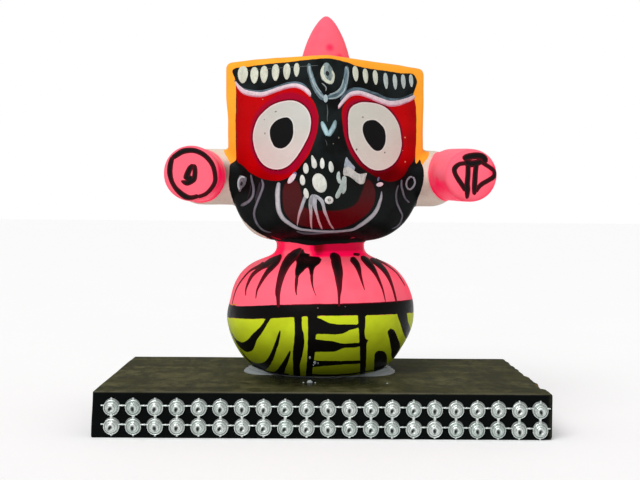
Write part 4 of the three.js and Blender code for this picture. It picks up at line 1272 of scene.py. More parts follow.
def body_middle(z):
    """Where the body's axis is at a height, and how flat the body is there."""
    lean = ease(z, *BODY_LEAN_HEIGHTS)
    sway = np.interp(z, *zip(*BODY_SWAY))
    return sway, BODY_AXIS[1] + BODY_LEAN * lean, 1 + (NECK_FLATNESS - 1) * lean


def body_shell():
    """Round belly and flared neck."""
    rings = []
    for radius, z in body_profile():
        middle_x, middle_y, flatness = body_middle(z)
        rings.append(level_ring((middle_x, middle_y), radius, z, BODY_SIDES, flatness))
    return skin(rings)


def head_outline():
    """The head's level outline: places along its core and the way out at each."""
    side = HEAD_HALF_WIDTH - ARRIS_RADIUS
    side_end = SIDE_BACK_Y - ARRIS_RADIUS
    bow = []
    for degrees in range(0, 181, 6):
        angle = math.radians(degrees)
        across = abs(math.cos(angle)) ** 0.75 * (1 if degrees < 90 else -1)
        bow.append((side * across, side_end + (BACK_Y - SIDE_BACK_Y) * max(math.sin(angle), 0) ** 0.75))
    core = np.array([(RIDGE[0], RIDGE[1] + ARRIS_RADIUS), (side, CORNER_Y + ARRIS_RADIUS), *bow,
                     (-side, CORNER_Y + ARRIS_RADIUS)])
    seats = []
    ways = []
    count = len(core)
    for index, corner in enumerate(core):
        before = corner - core[index - 1]
        edge = core[(index + 1) % count] - corner
        start = math.atan2(-before[0], before[1])
        end = math.atan2(-edge[0], edge[1])
        if end < start:
            end += 2 * math.pi
        steps = max(1, round((end - start) / 0.12))
        for step in range(steps + 1):
            angle = start + (end - start) * step / steps
            seats.append(corner)
            ways.append((math.cos(angle), math.sin(angle)))
        run = int(np.linalg.norm(edge) / 1.2)
        for step in range(1, run):
            seats.append(corner + edge * step / run)
            ways.append((math.cos(end), math.sin(end)))
    return np.array(seats), np.array(ways)


def head_shell():
    """Folded face, short sides, bowed back, full chin and a soft upper arris."""
    seats, ways = head_outline()
    levels = []
    for fall in [0.99, 0.985, 0.98, 0.97, 0.955, *np.linspace(0.93, 0.05, 26)]:
        width = (1 - fall ** 1.3) ** 0.195
        front = (1 - fall ** 2.2) ** 0.45
        back = (1 - fall ** 4) ** 0.25
        levels.append((CHEEK_Z + (CHIN_Z - CHEEK_Z) * fall, width, front, back, CHIN_SHIFT * fall ** 3, 0.0))
    shoulder = HEAD_TOP_Z - HEAD_TOP_ROUNDING
    for z in np.linspace(CHEEK_Z, shoulder, 20):
        levels.append((z, 1.0, 1.0, 1.0, 0.0, 0.0))
    for degrees in range(10, 91, 10):
        angle = math.radians(degrees)
        rise = HEAD_TOP_ROUNDING * math.sin(angle)
        levels.append((shoulder + rise, 1.0, 1.0, 1.0, 0.0, HEAD_TOP_ROUNDING * (1 - math.cos(angle))))
    rings = []
    for z, width, front, back, shift, inset in levels:
        ring = seats + ways * (ARRIS_RADIUS - inset)
        away = ring[:, 1] - MIDDLE_Y
        slope = (HEAD_TOP_SLOPE * ring[:, 0] - 0.4 * ease(-ring[:, 0], 17, 25)) * ease(z, CHEEK_Z, HEAD_TOP_Z)
        hang = 0.6 * ease(-ring[:, 0], 8, 22) * ease(z, 80.5, 74.0) + 0.17 * ease(ring[:, 0], 8, 22)
        x = HEAD_X + shift + ring[:, 0] * width + hang
        y = MIDDLE_Y + away * np.where(away < 0, front, back)
        rings.append(np.column_stack([x, y, z + slope]))
    return skin(rings)


def rod_shell(start, end, radii, edge):
    """A rod with a radius at either end, round at its start and flat with a softened edge at its end."""
    radius, last = radii
    start = np.array(start, float)
    way = np.array(end, float) - start
    reach = np.linalg.norm(way)
    way /= reach
    across = np.cross(way, (0.0, 0.0, 1.0))
    across /= np.linalg.norm(across)
    above = np.cross(way, across)
    profile = [(radius * math.cos(a), radius * math.sin(a)) for a in np.radians(range(-87, 1, 6))]
    for rise in np.linspace(1, reach - edge, 12):
        profile.append((radius + (last - radius) * rise / reach, rise))
    for angle in np.radians(range(15, 91, 15)):
        profile.append((last - edge * (1 - math.cos(angle)), reach - edge * (1 - math.sin(angle))))
    ring = circle(1.0, ROD_SIDES)
    return skin([
        start + way * height + (ring[:, :1] * across + ring[:, 1:] * above) * wide for wide, height in profile
    ])


def crest_radius(z):
    """The crest's radius at a height."""
    share = np.clip((np.asarray(z, float) - CREST_FOOT_Z) / (CREST_TIP_Z - CREST_FOOT_Z), 0, 1)
    return CREST_RADIUS * (1 - share ** CREST_POWER) ** (1 / CREST_POWER)


def crest_shell():
    """The blunt pointed crest."""
    rings = []
    for share in np.sin(np.linspace(0, 0.985, 30) * math.pi / 2):
        z = CREST_FOOT_Z + (CREST_TIP_Z - CREST_FOOT_Z) * share
        rings.append(level_ring(CREST_AXIS, float(crest_radius(z)), z, ROD_SIDES))
    return skin(rings)


def arm_shells():
    """Both arm roots and both forearms."""
    shells = []
    for outer, buried in ((LEFT_ROOT_END, -BURIED_ROOT_END), (RIGHT_ROOT_END, BURIED_ROOT_END)):
        start = (outer, *ARM_ROOT_AXIS)
        end = (buried, *ARM_ROOT_AXIS)
        shells.append(rod_shell(start, end, ARM_ROOT_RADIUS, ARM_ROOT_EDGE))
    shells.append(rod_shell(LEFT_ELBOW, LEFT_HAND, LEFT_ARM_RADIUS, LEFT_HAND_EDGE))
    shells.append(rod_shell(RIGHT_ELBOW, RIGHT_HAND, RIGHT_ARM_RADIUS, RIGHT_HAND_EDGE))
    return shells


def outside_rod(spots, start, end, radii):
    """How far places lie outside a round-ended rod, in millimetres."""
    start = np.array(start, float)
    way = np.array(end, float) - start
    share = np.clip((spots - start) @ way / (way @ way), 0, None)
    radius = radii[0] + (radii[1] - radii[0]) * share
    return np.linalg.norm(spots - start - np.minimum(share, 1.2)[:, None] * way, axis=1) - radius


def soft_spots(spots, places):
    """A mask from 0 to 1 round some places, each given with its radius."""
    total = np.zeros(len(spots))
    for x, y, z, radius, strength in places:
        away = np.linalg.norm(spots - np.array((x, y, z)), axis=1)
        total = np.maximum(total, strength * ease(away, radius, radius * 0.25))
    return total


def paint_fields(spots):
    """Distances inside each painted area, negative outside, for places on the casting, and levels for tints,
    painted shade and painted light.
    """
    x, y, z = spots.T
    low = z < BODY_LIMIT_Z
    middle_x, middle_y, flatness = body_middle(z)
    round_body = np.hypot(x - middle_x, (y - middle_y) / flatness)
    chin_dip = 0.75 * np.exp(-(((x + 2.8) / 3.6) ** 2)) + 0.3 * np.exp(-(((x - 4.0) / 4.0) ** 2))
    neck_top = NECK_TOP_Z - chin_dip * (y < 6)
    on_body = np.maximum(neck_top - z, np.where(low & (y > 5), 11.6 - round_body, -FAR))
    turn = np.degrees(np.arctan2(y - middle_y, x - middle_x))
    ripple = unevenness(spots, 6.0, 3)
    band_top = np.interp(turn, *zip(*BAND_TOP)) + 0.15 * ripple * (y > 0)
    band_foot = np.interp(turn, *zip(*BAND_FOOT)) + 0.2 * ripple * (y > 0)

    left_arm = 0.3 - np.abs(outside_rod(spots, LEFT_ELBOW, LEFT_HAND, LEFT_ARM_RADIUS))
    right_arm = 0.3 - np.abs(outside_rod(spots, RIGHT_ELBOW, RIGHT_HAND, RIGHT_ARM_RADIUS))
    hands = np.where(np.abs(x) > 20, np.maximum(np.where(x < 0, left_arm, right_arm), HAND_BACK_Y - y), -FAR)
    hands = np.minimum(hands, np.where(np.abs(z - HAND_MIDDLE_Z) < 8, FAR, -FAR))
    from_crest = np.hypot(x - CREST_AXIS[0], y - CREST_AXIS[1]) - crest_radius(z)
    crest = np.where(z > CREST_PINK_Z, 0.3 - from_crest, -FAR)
    fields = {
        "pink": np.maximum(np.maximum(on_body + 0.25, hands), crest),
        "lime": np.where(low, band_foot - z, -FAR),
    }

    flat = np.column_stack([x, z])
    front = (y < 14) & (z > 41)
    shapes = {
        "face": [FACE_BLACK], "orange": [ORANGE_BORDER], "red": [LEFT_RED, RIGHT_RED],
        "crimson": [LEFT_EYE_RING], "eye_white": [LEFT_EYE, RIGHT_EYE], "pupil": [LEFT_PUPIL, RIGHT_PUPIL],
        "lips": [LIPS], "mouth_hollow": [MOUTH_HOLLOW],
    }
    for name, outlines in shapes.items():
        depth = np.full(len(spots), -FAR)
        for outline in outlines:
            depth[front] = np.maximum(depth[front], depth_inside(outline, flat[front]))
        fields[name] = depth

    face_back = 3.3 + 6.5 * ease(z, 57, 50) + 0.5 * unevenness(spots, 5.0, 11)
    for name in ("face", "red", "crimson", "eye_white", "pupil", "lips", "mouth_hollow"):
        fields[name] = np.minimum(fields[name], face_back - y)
    orange_back = 4.9 + 7.5 * ease(z, 86.8, 88.6) + 0.9 * unevenness(spots, 7.0, 21)
    fields["orange"] = np.minimum(fields["orange"], orange_back - y)
    ring_width = 0.6 + 0.55 * ease(x, 10.0, 6.5)
    right_ring = np.where(x > 3, np.minimum(fields["eye_white"] + ring_width, fields["red"] - 0.05), -FAR)
    fields["crimson"] = np.maximum(fields["crimson"], right_ring)
    face = np.minimum(fields.pop("face"), -on_body)
    band = np.where(low, np.minimum(band_top - z, z - band_foot), -FAR)
    fields["black"] = np.maximum(face, band)
    body_sides = (
        (low & (y < middle_y), INK_SHAPES, 1),
        (low & (y > middle_y), HIDDEN_INK, -1),
    )
    for body_side, names, mirror in body_sides:
        across = flat[body_side] * (mirror, 1)
        for name in names:
            inked = depth_inside(INK_SHAPES[name], across)
            fields["black"][body_side] = np.maximum(fields["black"][body_side], inked)
    # Painted shadow on the neck under the chin
    chin_shadow_weight = 1.1 * ease(x, -3.6, -1.2) + 0.5 * np.exp(-(((x + 1.2) / 1.6) ** 2))
    throat_shadow = 0.45 * ease(z, 41.0, 42.2) + chin_shadow_weight * ease(z, 39.9, 40.9) * (y < 4)
    throat_shadow = (throat_shadow + 0.9 * ease(-x, 9.0, 10.6) * ease(z, 38.6, 40.6)) * (z < 46)
    # On the forearm barrels: painted shade low down, and painted light elsewhere, kept below zero
    barrel = ease(y, -17.2, -15.0) * ease(np.abs(x), 21.0, 23.0) * (z < 70) * (z > 48)
    shaded = np.maximum.reduce([soft_spots(spots, PINK_SHADE_SPOTS), throat_shadow, 0.8 * barrel * ease(z, 62.0, 57.0)])
    fields["thick_pink"] = shaded - barrel * np.clip(1 - 2 * shaded, 0, 1)
    # Painted shade on the bare casting beside the hands
    fields["grime"] = soft_spots(spots, ROOT_SHADE_SPOTS)
    # Painted shade on the red: under the eyes, towards the right and at both far sides
    fields["red_depth"] = np.clip(
        (0.38 + 0.57 * ease(x, -2.0, 6.0)) * ease(z, 67.0, 60.0) + 0.28 * ease(x, 19.0, 23.5)
        + 0.25 * ease(-x, 17.0, 22.0)
        + 0.2 * unevenness(spots, 3.5, 31), 0, 1,
    )
    fields["lips_depth"] = ease(x, -7.0, -1.0) * ease(z, 57.0, 51.5)
    return fields


def cast_figure(settings):
    """The whole casting with its distances to every painted edge."""
    points, faces = gathered([body_shell(), head_shell(), crest_shell(), *arm_shells()])
    piece = placed("painted_figure", mesh_from("painted_figure", points, faces))
    even = piece.modifiers.new("even_skin", "REMESH")
    even.mode = "VOXEL"
    even.voxel_size = settings.skin_step
    even.use_smooth_shade = True
    soften = piece.modifiers.new("soft_arrises", "SMOOTH")
    soften.factor = 0.5
    soften.iterations = settings.softening
    settle(piece)
    mesh = piece.data
    spots = points_of(mesh)
    out = np.empty(len(mesh.vertices) * 3)
    mesh.vertex_normals.foreach_get("vector", out)
    lumps = unevenness(spots, 9.0, 1) + 0.45 * unevenness(spots, 3.6, 2)
    still = ease(spots[:, 2], FOOT_Z, FOOT_Z + 1.5)
    spots = spots + out.reshape(-1, 3) * (lumps * still * settings.hand_waviness / MM)[:, None]
    set_points(mesh, spots)
    for name, values in paint_fields(spots).items():
        note(mesh, name, np.clip(values, -FAR, FAR))
    mesh.polygons.foreach_set("use_smooth", [True] * len(mesh.polygons))
    mesh.materials.clear()
    mesh.materials.append(figure_paint(settings))
    return piece


# Brush strokes

def aim_ahead(flat):
    """Rays that meet the figure's front straight on, for places (x, z)."""
    starts = np.column_stack([flat[:, 0], np.full(len(flat), -60.0), flat[:, 1]])
    return starts, np.tile((0.0, 1.0, 0.0), (len(flat), 1))


def aim_round(flat, turned=False):
    """Rays that meet the round body square on, for places as the front view shows them."""
    radius_at, heights = body_profile().T
    z = flat[:, 1]
    radius = np.interp(z, heights, radius_at)
    middle_x, middle_y, flatness = body_middle(z)
    across = np.clip((flat[:, 0] - middle_x) / radius, -0.9985, 0.9985)
    out = np.column_stack([across, -np.sqrt(1 - across ** 2) * flatness, np.zeros(len(z))])
    if turned:
        out = out * (-1.0, -1.0, 1.0)
    out /= np.linalg.norm(out, axis=1)[:, None]
    middle = np.column_stack([middle_x * np.ones(len(z)), middle_y * np.ones(len(z)), z])
    return middle + out * (radius + 11.0)[:, None], -out


def aim_behind(flat):
    """Rays for the round body's back, for places as the front view shows them."""
    return aim_round(flat, turned=True)


class BrushMarks:
    """Brush marks laid out flat, with the ray that lays each point on the figure."""

    def __init__(self, rise):
        self.rise = rise
        self.shells = []
        self.extras = []

    def keep(self, points, faces, paints, aim, along, streaks):
        """Adds one closed mark; its points are (x, lift, z), each with its paint."""
        starts, ways = aim(points[:, (0, 2)])
        colours = np.column_stack([paints, np.full(len(points), streaks)])
        self.shells.append((points * (1, -1, 1), faces))
        self.extras.append((starts, ways, points[:, 1], colours, along))

    def stroke(self, path, paint, aim=aim_ahead, rise=1.0, step=0.32, streaks=0.15, rim=None, tail=None):
        """A stroke along (x, z, width) places, lens-shaped across; rim and tail are other paints there."""
        line = through(path, step)
        middle = line[:, :2]
        half = np.maximum(line[:, 2], 0.06) / 2
        run = np.concatenate([[0], np.cumsum(np.hypot(*np.diff(middle, axis=0).T))])
        for away, reach in ((run, half[0]), (run[-1] - run, half[-1])):
            share = np.clip(away / max(reach, 1e-6), 0, 1)
            half = np.maximum(half * np.sqrt(1 - (1 - share) ** 2), 0.02)
        way = np.gradient(middle, axis=0)
        way /= np.linalg.norm(way, axis=1)[:, None]
        side = np.column_stack([way[:, 1], -way[:, 0]])
        top = np.minimum(self.rise, 0.05 + half * 0.2) * rise
        rows = []
        marks = []
        paints = []
        run_paint = np.tile(paint, (len(line), 1))
        if tail:
            run_paint = run_paint + ease(run / run[-1], 0.25, 0.8)[:, None] * (np.array(tail) - run_paint)
        for across, share, dip in STROKE_SECTION:
            lift = top * share + dip
            spot = middle + side * (half * across)[:, None]
            rows.append(np.column_stack([spot[:, 0], lift, spot[:, 1]]))
            marks.append(np.column_stack([half * across, run * 0.12, np.full(len(line), path[0][0])]))
            edge = np.clip(1 - half * (1 - abs(across)) / RIM_WIDTH, 0, 1)[:, None] if rim else 0.0
            paints.append(run_paint + edge * (np.array(rim or paint) - run_paint))
        rings = list(np.stack(rows, axis=1))
        along = np.vstack([*np.stack(marks, axis=1), marks[0][:1], marks[0][-1:]])
        points, faces = skin(rings)
        paints = np.vstack([*np.stack(paints, axis=1), paints[0][:1], paints[0][-1:]])
        self.keep(points, faces, paints, aim, along, streaks)

    def patch(self, outline, paint, aim=aim_ahead, rise=1.0, streaks=0.15):
        """A filled dab with a closed outline, domed towards its middle."""
        edge = through(outline, 0.25, closed=True)
        middle = edge.mean(axis=0)
        rings = []
        marks = []
        for share, lift, dip in DAB_SECTION:
            ring = middle + (edge - middle) * share
            height = self.rise * lift * rise + dip
            rings.append(np.column_stack([ring[:, 0], np.full(len(ring), height), ring[:, 1]]))
            marks.append(np.column_stack([ring[:, 0], ring[:, 1] * 0.15, np.zeros(len(ring))]))
        points, faces = skin(rings)
        along = np.vstack([*marks, marks[0].mean(axis=0), marks[-1].mean(axis=0)])
        self.keep(points, faces, np.tile(paint, (len(points), 1)), aim, along, streaks)

    def dab(self, x, z, width, height, tilt=0.0, paint=(1, 1, 1), taper=0.0, aim=aim_ahead, rise=1.0):
        """An oval dab, narrower at its foot by the taper."""
        turn = np.linspace(0, 2 * math.pi, 14, endpoint=False)
        across = np.cos(turn) * width / 2
        up = np.sin(turn) * height / 2
        across = across * (1 + taper * np.sin(turn))
        lean = math.radians(tilt)
        aside = x + across * math.cos(lean) + up * math.sin(lean)
        above = z - across * math.sin(lean) + up * math.cos(lean)
        self.patch(np.column_stack([aside, above]), paint, aim, rise)

    def strokes(self, paths, paint, **looks):
        """One stroke along each path."""
        for path in paths:
            self.stroke(path, paint, **looks)

    def dabs(self, places, paint, **looks):
        """One dab at each place, given with its size."""
        for where in places:
            self.dab(*where, paint=paint, **looks)

    def laid_on(self, figure, name, material):
        """Lays the marks on the figure and returns them as one piece."""
        points, faces = gathered(self.shells)
        piece = placed(name, mesh_from(name, points, faces))
        mesh = piece.data
        starts, ways, lifts, colours, along = (np.concatenate(part) for part in zip(*self.extras))
        note(mesh, "ray_start", starts * MM, "FLOAT_VECTOR", "vector")
        note(mesh, "ray_way", ways, "FLOAT_VECTOR", "vector")
        note(mesh, "lift", lifts * MM)
        note(mesh, "paint", colours, "FLOAT_COLOR", "color")
        note(mesh, "along_stroke", along, "FLOAT_VECTOR", "vector")
        laying = piece.modifiers.new("laid_on_figure", "NODES")
        laying.node_group = laying_tree()
        for label, value in (("Painted Piece", figure), ("Reach", RAY_REACH * MM), ("Finish", material)):
            laying[socket_identifier(laying.node_group, label)] = value
        settle(piece)
        landed = np.empty(len(piece.data.vertices))
        piece.data.attributes["landed"].data.foreach_get("value", landed)
        if landed.min() < 0.5:
            raise RuntimeError(f"{name}: {int((landed < 0.5).sum())} points miss the figure")
        for spent in ("ray_start", "ray_way", "lift", "landed"):
            piece.data.attributes.remove(piece.data.attributes[spent])
        turn_outwards(piece.data)
        return piece


def socket_identifier(tree, label):
    """The identifier of a node group's input."""
    inputs = (item for item in tree.interface.items_tree if item.in_out == "INPUT")
    return next(item.identifier for item in inputs if item.name == label)


def geometry_tree(name, inputs, result):
    """A new geometry node group, what it is given and where its result goes."""
    tree = bpy.data.node_groups.new(name, "GeometryNodeTree")
    for label, kind in inputs.items():
        tree.interface.new_socket(label, in_out="INPUT", socket_type="NodeSocket" + kind)
    tree.interface.new_socket(result, in_out="OUTPUT", socket_type="NodeSocketGeometry")
    return tree, add(tree, "NodeGroupInput").outputs, add(tree, "NodeGroupOutput").inputs[0]


def finished(tree, shape, material):
    """The shape with its copies made real and its material on."""
    real = add(tree, "GeometryNodeRealizeInstances")
    feed(tree, real.inputs[0], shape)
    made = add(tree, "GeometryNodeSetMaterial")
    give(tree, made.inputs, Geometry=real.outputs[0], Material=material)
    return made.outputs[0]


def laying_tree():
    """Geometry nodes that cast every point of flat brush marks onto a piece."""
    known = bpy.data.node_groups.get("lay_brush_marks")
    if known:
        return known
    inputs = {"Marks": "Geometry", "Painted Piece": "Object", "Reach": "Float", "Finish": "Material"}
    tree, given, result = geometry_tree("lay_brush_marks", inputs, "Laid Marks")
    target = add(tree, "GeometryNodeObjectInfo")
    give(tree, target.inputs, Object=given["Painted Piece"])
    kept = {}
    for name, kind in (("ray_start", "FLOAT_VECTOR"), ("ray_way", "FLOAT_VECTOR"), ("lift", "FLOAT")):
        named = add(tree, "GeometryNodeInputNamedAttribute", data_type=kind)
        give(tree, named.inputs, Name=name)
        kept[name] = socket(named.outputs, "Attribute")
    ray = add(tree, "GeometryNodeRaycast", data_type="FLOAT_VECTOR", mapping="INTERPOLATED")
    give(
        tree, ray.inputs, Target_Geometry=target.outputs["Geometry"],
        Attribute=add(tree, "GeometryNodeInputNormal").outputs[0], Source_Position=kept["ray_start"],
        Ray_Direction=kept["ray_way"], Ray_Length=given["Reach"],
    )
    raised = scaled(tree, socket(ray.outputs, "Attribute"), kept["lift"])
    moved = add(tree, "GeometryNodeSetPosition")
    give(
        tree, moved.inputs, Geometry=given["Marks"], Position=socket(ray.outputs, "Hit Position"),
        Offset=raised,
    )
    landed = add(tree, "GeometryNodeStoreNamedAttribute", data_type="FLOAT", domain="POINT")
    give(tree, landed.inputs, Name="landed", Geometry=moved.outputs[0], Value=socket(ray.outputs, "Is Hit"))
    feed(tree, result, finished(tree, landed.outputs[0], given["Finish"]))
    return tree


def mark_face(marks, paints):
    """Brows, forehead strokes, dabs, smile and cheek strokes."""
    cream = tuple(paints.cream)
    mist = tuple(paints.mist)
    ash = tuple(paints.ash)
    dim_ash = tuple(paints.dim_ash)
    lilac = tuple(paints.lilac)
    light_mist = tuple(paints.light_mist)
    marks.strokes(BROW_SHADES, tuple(paints.dusk), rise=0.5, streaks=0.6)
    for path in BROWS:
        under = [(x, z - 0.28, width * 0.8) for x, z, width in path]
        marks.stroke(under, shade(232, 160, 180), rise=0.8, streaks=0.3)
        marks.stroke(path, lilac, streaks=0.2)
    marks.stroke(FOREHEAD_U, mist, streaks=0.6)
    marks.strokes(FOREHEAD_U_HAIR, light_mist, rise=1.7, streaks=0.35)
    marks.patch(DROP_MARK, shade(146, 162, 162), streaks=0.5)
    marks.stroke(DROP_MARK_LIGHT, cream, rise=1.4, step=0.2)
    marks.dab(*DROP_MARK_HOLE, paint=shade(42, 48, 50), rise=1.25)
    marks.stroke(SCRIBBLE, shade(150, 156, 154), rise=1.2)
    marks.dab(*KNOB, paint=light_mist, rise=1.8)
    marks.strokes(CHEVRON, shade(186, 218, 224), streaks=0.35, rim=shade(104, 142, 152))
    marks.strokes(RIDGE_SCRATCHES, shade(98, 102, 100), rise=1.2)
    for x, z, width, height in FOREHEAD_DABS:
        paint = cream if x < 14 else shade(196, 208, 204)
        marks.dab(x, z, width, height, paint=paint, taper=0.16, tilt=0.0 if x < 0 else -5.0)
    marks.dabs(NOSE_DABS, shade(230, 232, 224), taper=-0.12)
    marks.stroke(POINTED_DAB, shade(230, 232, 224), step=0.2)
    marks.strokes(WHISKERS, ash, streaks=0.4, tail=shade(206, 150, 156))
    marks.dab(*NOSE_TIP, paint=shade(226, 228, 218), rise=1.5)
    marks.dabs(BLUISH_DABS, shade(112, 110, 146), rise=0.6)
    marks.dabs(STRAY_DABS, lilac)
    marks.dab(*NOSE_RING, paint=shade(234, 232, 228), rise=1.4)
    marks.dab(NOSE_RING[0], NOSE_RING[1] + 0.1, 1.0, 0.9, paint=shade(96, 96, 94), rise=1.5)
    marks.dab(NOSE_RING[0], NOSE_RING[1] + 0.1, 0.5, 0.45, paint=shade(234, 232, 228), rise=1.65)
    marks.patch(SMEAR_BLUE, shade(176, 186, 198), streaks=0.4, rise=0.7)
    marks.patch(SMEAR_WHITE, shade(216, 214, 208), streaks=0.3)
    marks.strokes(SMEAR_TAILS, shade(206, 220, 214), streaks=0.3, rise=1.1)
    marks.stroke(SMILE, shade(208, 210, 214), streaks=0.2, rim=shade(138, 138, 150))
    marks.stroke(SMILE_EDGE, shade(104, 104, 114), rise=0.8, streaks=0.4)
    marks.strokes(CHEEK_STROKES, dim_ash, rise=0.8, streaks=0.4, rim=shade(80, 80, 92))
    marks.strokes(CHEEK_HAZE, shade(48, 44, 54), rise=0.5, streaks=0.5)
    marks.patch(LEFT_LEAF, shade(116, 122, 128), streaks=0.4)
    marks.stroke(LEAF_LIGHT, light_mist, step=0.2, rise=1.3)
    marks.dab(*LEAF_HOLE, paint=shade(44, 42, 46), rise=1.3)
    marks.stroke(RIGHT_LEAF_RING, dim_ash, step=0.2, rise=0.8)
    marks.stroke(CHIN_GLINT, shade(170, 34, 54), rise=0.5)
    marks.stroke(JAW_RED, shade(196, 26, 48), rise=0.5)
    marks.dabs(GREY_SPECKS, shade(122, 112, 106), rise=0.5)
    marks.dabs(SPECKS, tuple(paints.peach), rise=0.7)
    marks.dabs(EYE_SPECKS, shade(120, 100, 98), rise=0.4)


def mark_body(marks, paints):
    """Black strokes on collar and skirt, the collar's repeated more plainly behind."""
    ink = tuple(paints.ink)
    maroon = tuple(paints.maroon)
    marks.strokes(COLLAR_STROKES, ink, aim=aim_round, streaks=0.2, rim=maroon, tail=shade(92, 0, 20))
    marks.strokes(SKIRT_STROKES, ink, aim=aim_round)
    marks.stroke(BAND_REMNANT, shade(226, 150, 40), aim=aim_round, rise=0.4, step=0.2)
    for x, z, width in BAND_SPECKS:
        marks.dab(x, z, width, width * 0.8, paint=shade(112, 92, 90), rise=0.4)
    marks.strokes([COLLAR_STROKES[index] for index in HIDDEN_COLLAR], ink, aim=aim_behind, rim=maroon)


def mark_hands(marks, paints):
    """Emblems on the two hands."""
    marks.strokes(LEFT_EMBLEM + RIGHT_EMBLEM, tuple(paints.ink), rim=tuple(paints.maroon))


# Plinth, glue and trim

def close_set(length, step):
    """Places along an edge about its middle, closer together near both ends."""
    near = np.array([0.0, 0.1, 0.2, 0.3, 0.42, 0.56, 0.75, 1.0, 1.3, 1.7, 2.2, 2.9, 3.8])
    near = near[near < length / 2]
    count = max(1, round((length - 2 * near[-1]) / step))
    middle = np.linspace(near[-1], length - near[-1], count + 1)[1:-1]
    return np.concatenate([near, middle, length - near[::-1]]) - length / 2


def block_skin(xs, ys, zs):
    """The six faces of a block as one net of quads."""
    known = {}
    points = []
    faces = []

    def spot(i, j, k):
        key = (i, j, k)
        if key not in known:
            known[key] = len(points)
            points.append((xs[i], ys[j], zs[k]))
        return known[key]

    counts = (len(xs) - 1, len(ys) - 1, len(zs) - 1)
    for axis in range(3):
        first, second = [other for other in range(3) if other != axis]
        for level in (0, counts[axis]):
            for a in range(counts[first]):
                for b in range(counts[second]):
                    corners = []
                    for da, db in ((0, 0), (1, 0), (1, 1), (0, 1)):
                        index = [0, 0, 0]
                        index[axis] = level
                        index[first] = a + da
                        index[second] = b + db
                        corners.append(spot(*index))
                    faces.append(tuple(corners))
    return np.array(points), faces


def shape_plinth(settings):
    """The wooden block with worn arrises, a ragged right edge and a torn place."""
    size = np.array([settings.width, settings.depth, settings.height]) / MM
    points, faces = block_skin(*(close_set(length, step) for length, step in zip(size, PLINTH_NET)))
    half = size / 2
    right = ease(points[:, 0], half[0] - 4, half[0] - 0.5)
    front = ease(-points[:, 1], half[1] - 4, half[1] - 0.5)
    upper = ease(points[:, 2], half[2] - 3, half[2] - 0.3)
    radius = settings.arris / MM * (1 + 0.25 * unevenness(points, 5.0, 5))
    radius = radius + 0.35 * right * front * (1 - 0.6 * upper) + 0.15 * right * upper
    radius = np.clip(radius, 0.15, 1.6)[:, None]
    inner = np.clip(points, -(half - radius), half - radius)
    out = points - inner
    reach = np.linalg.norm(out, axis=1)[:, None]
    shaped = inner + out / np.maximum(reach, 1e-9) * radius
    shaped = np.where(reach > 1e-6, shaped, points)
    shaped[:, 2] += half[2]

    corner_gap = np.hypot(half[0] - shaped[:, 0], size[2] - shaped[:, 2])
    rag = ease(corner_gap, 1.3, 0.1) * (1 - 0.7 * ease(-shaped[:, 1], 22.0, 26.5))
    steps = 0.5 + 0.5 * unevenness(shaped * (0, 1, 0), 2.2, 7)
    steps = 0.6 * steps + 0.4 * (0.5 + 0.5 * unevenness(shaped * (0, 1, 0), 0.8, 8))
    wear = RIGHT_EDGE_WEAR * ease(shaped[:, 1], -14, 2) * ease(corner_gap, 2.4, 0.4)
    shaped[:, 0] -= rag * steps * RAG_DEPTHS[0] + wear
    shaped[:, 2] -= rag * steps * RAG_DEPTHS[1]
    in_chip = ease(np.abs(shaped[:, 1] - CHIP_Y), *CHIP_HALF_LENGTHS) * ease(corner_gap, 1.9, 0.3)
    in_chip = in_chip * (0.55 + 0.45 * unevenness(shaped * (1, 1, 0.4), 1.4, 9))
    depth = settings.splinter / MM
    shaped[:, 0] -= in_chip * depth * 0.8
    shaped[:, 2] -= in_chip * depth
    top = ease(shaped[:, 2], size[2] - 0.35, size[2] - 0.12)
    wave = unevenness(shaped * (0.35, 1, 1), 6.0, 12) * 0.05
    shaped[:, 2] += np.where(shaped[:, 2] > 1, wave * top - 0.05 * top, 0)
    back = ease(shaped[:, 1], 20.0, half[1])
    left = ease(-shaped[:, 0], half[0] - 9, half[0] - 1)
    inwards = 0.4 * ease(shaped[:, 2], 0.5, size[2]) + 0.1 * back * ease(shaped[:, 2], 3, size[2])
    shaped[:, 0] += left * inwards
    shaped[:, 1] += 0.6 * back
    side = ease(-shaped[:, 1], half[1] - 0.3, half[1] - 0.05) * (1 - top)
    shaped[:, 1] += side * (0.04 + 0.04 * unevenness(shaped, 4.0, 13))

    piece = placed("plinth_block", mesh_from("plinth_block", shaped, faces))
    mesh = piece.data
    front_gap = np.hypot(shaped[:, 1] + half[1], shaped[:, 2] - size[2])
    left_gap = np.hypot(shaped[:, 0] + half[0], shaped[:, 2] - size[2])
    right_corner = np.hypot(shaped[:, 0] - half[0], shaped[:, 1] + half[1])
    rubbed = np.maximum.reduce([
        ease(front_gap, 0.5, 0.15), 0.5 * ease(left_gap, 0.6, 0.1), 0.8 * ease(corner_gap, 0.9, 0.1),
        0.25 * ease(right_corner, 1.2, 0.4),
    ])
    foot = np.hypot(shaped[:, 0] - BODY_AXIS[0], shaped[:, 1] - BODY_AXIS[1])
    note(mesh, "top_face", top)
    note(mesh, "rubbed", rubbed)
    note(mesh, "torn", ease(in_chip, 0.12, 0.45) * 0.9)
    # Painted shadow with a wet gloss on the top in front of the foot
    ahead = ease(np.abs(shaped[:, 0] - BODY_AXIS[0]), 18.0, 10.0) * ease(-shaped[:, 1], -2.0, 8.0)
    note(mesh, "wet", ease(foot, 36.0, 24.0) * ahead * top)
    mesh.materials.append(plinth_paint(settings))
    return piece


def lobe(angle, degrees, half_angle):
    """How much a lobe that points along one angle counts at another."""
    turn = angle - math.radians(degrees)
    away = np.abs(np.arctan2(np.sin(turn), np.cos(turn)))
    return np.where(away < half_angle, np.cos(np.clip(away / half_angle, 0, 1) * math.pi / 2) ** 2, 0)


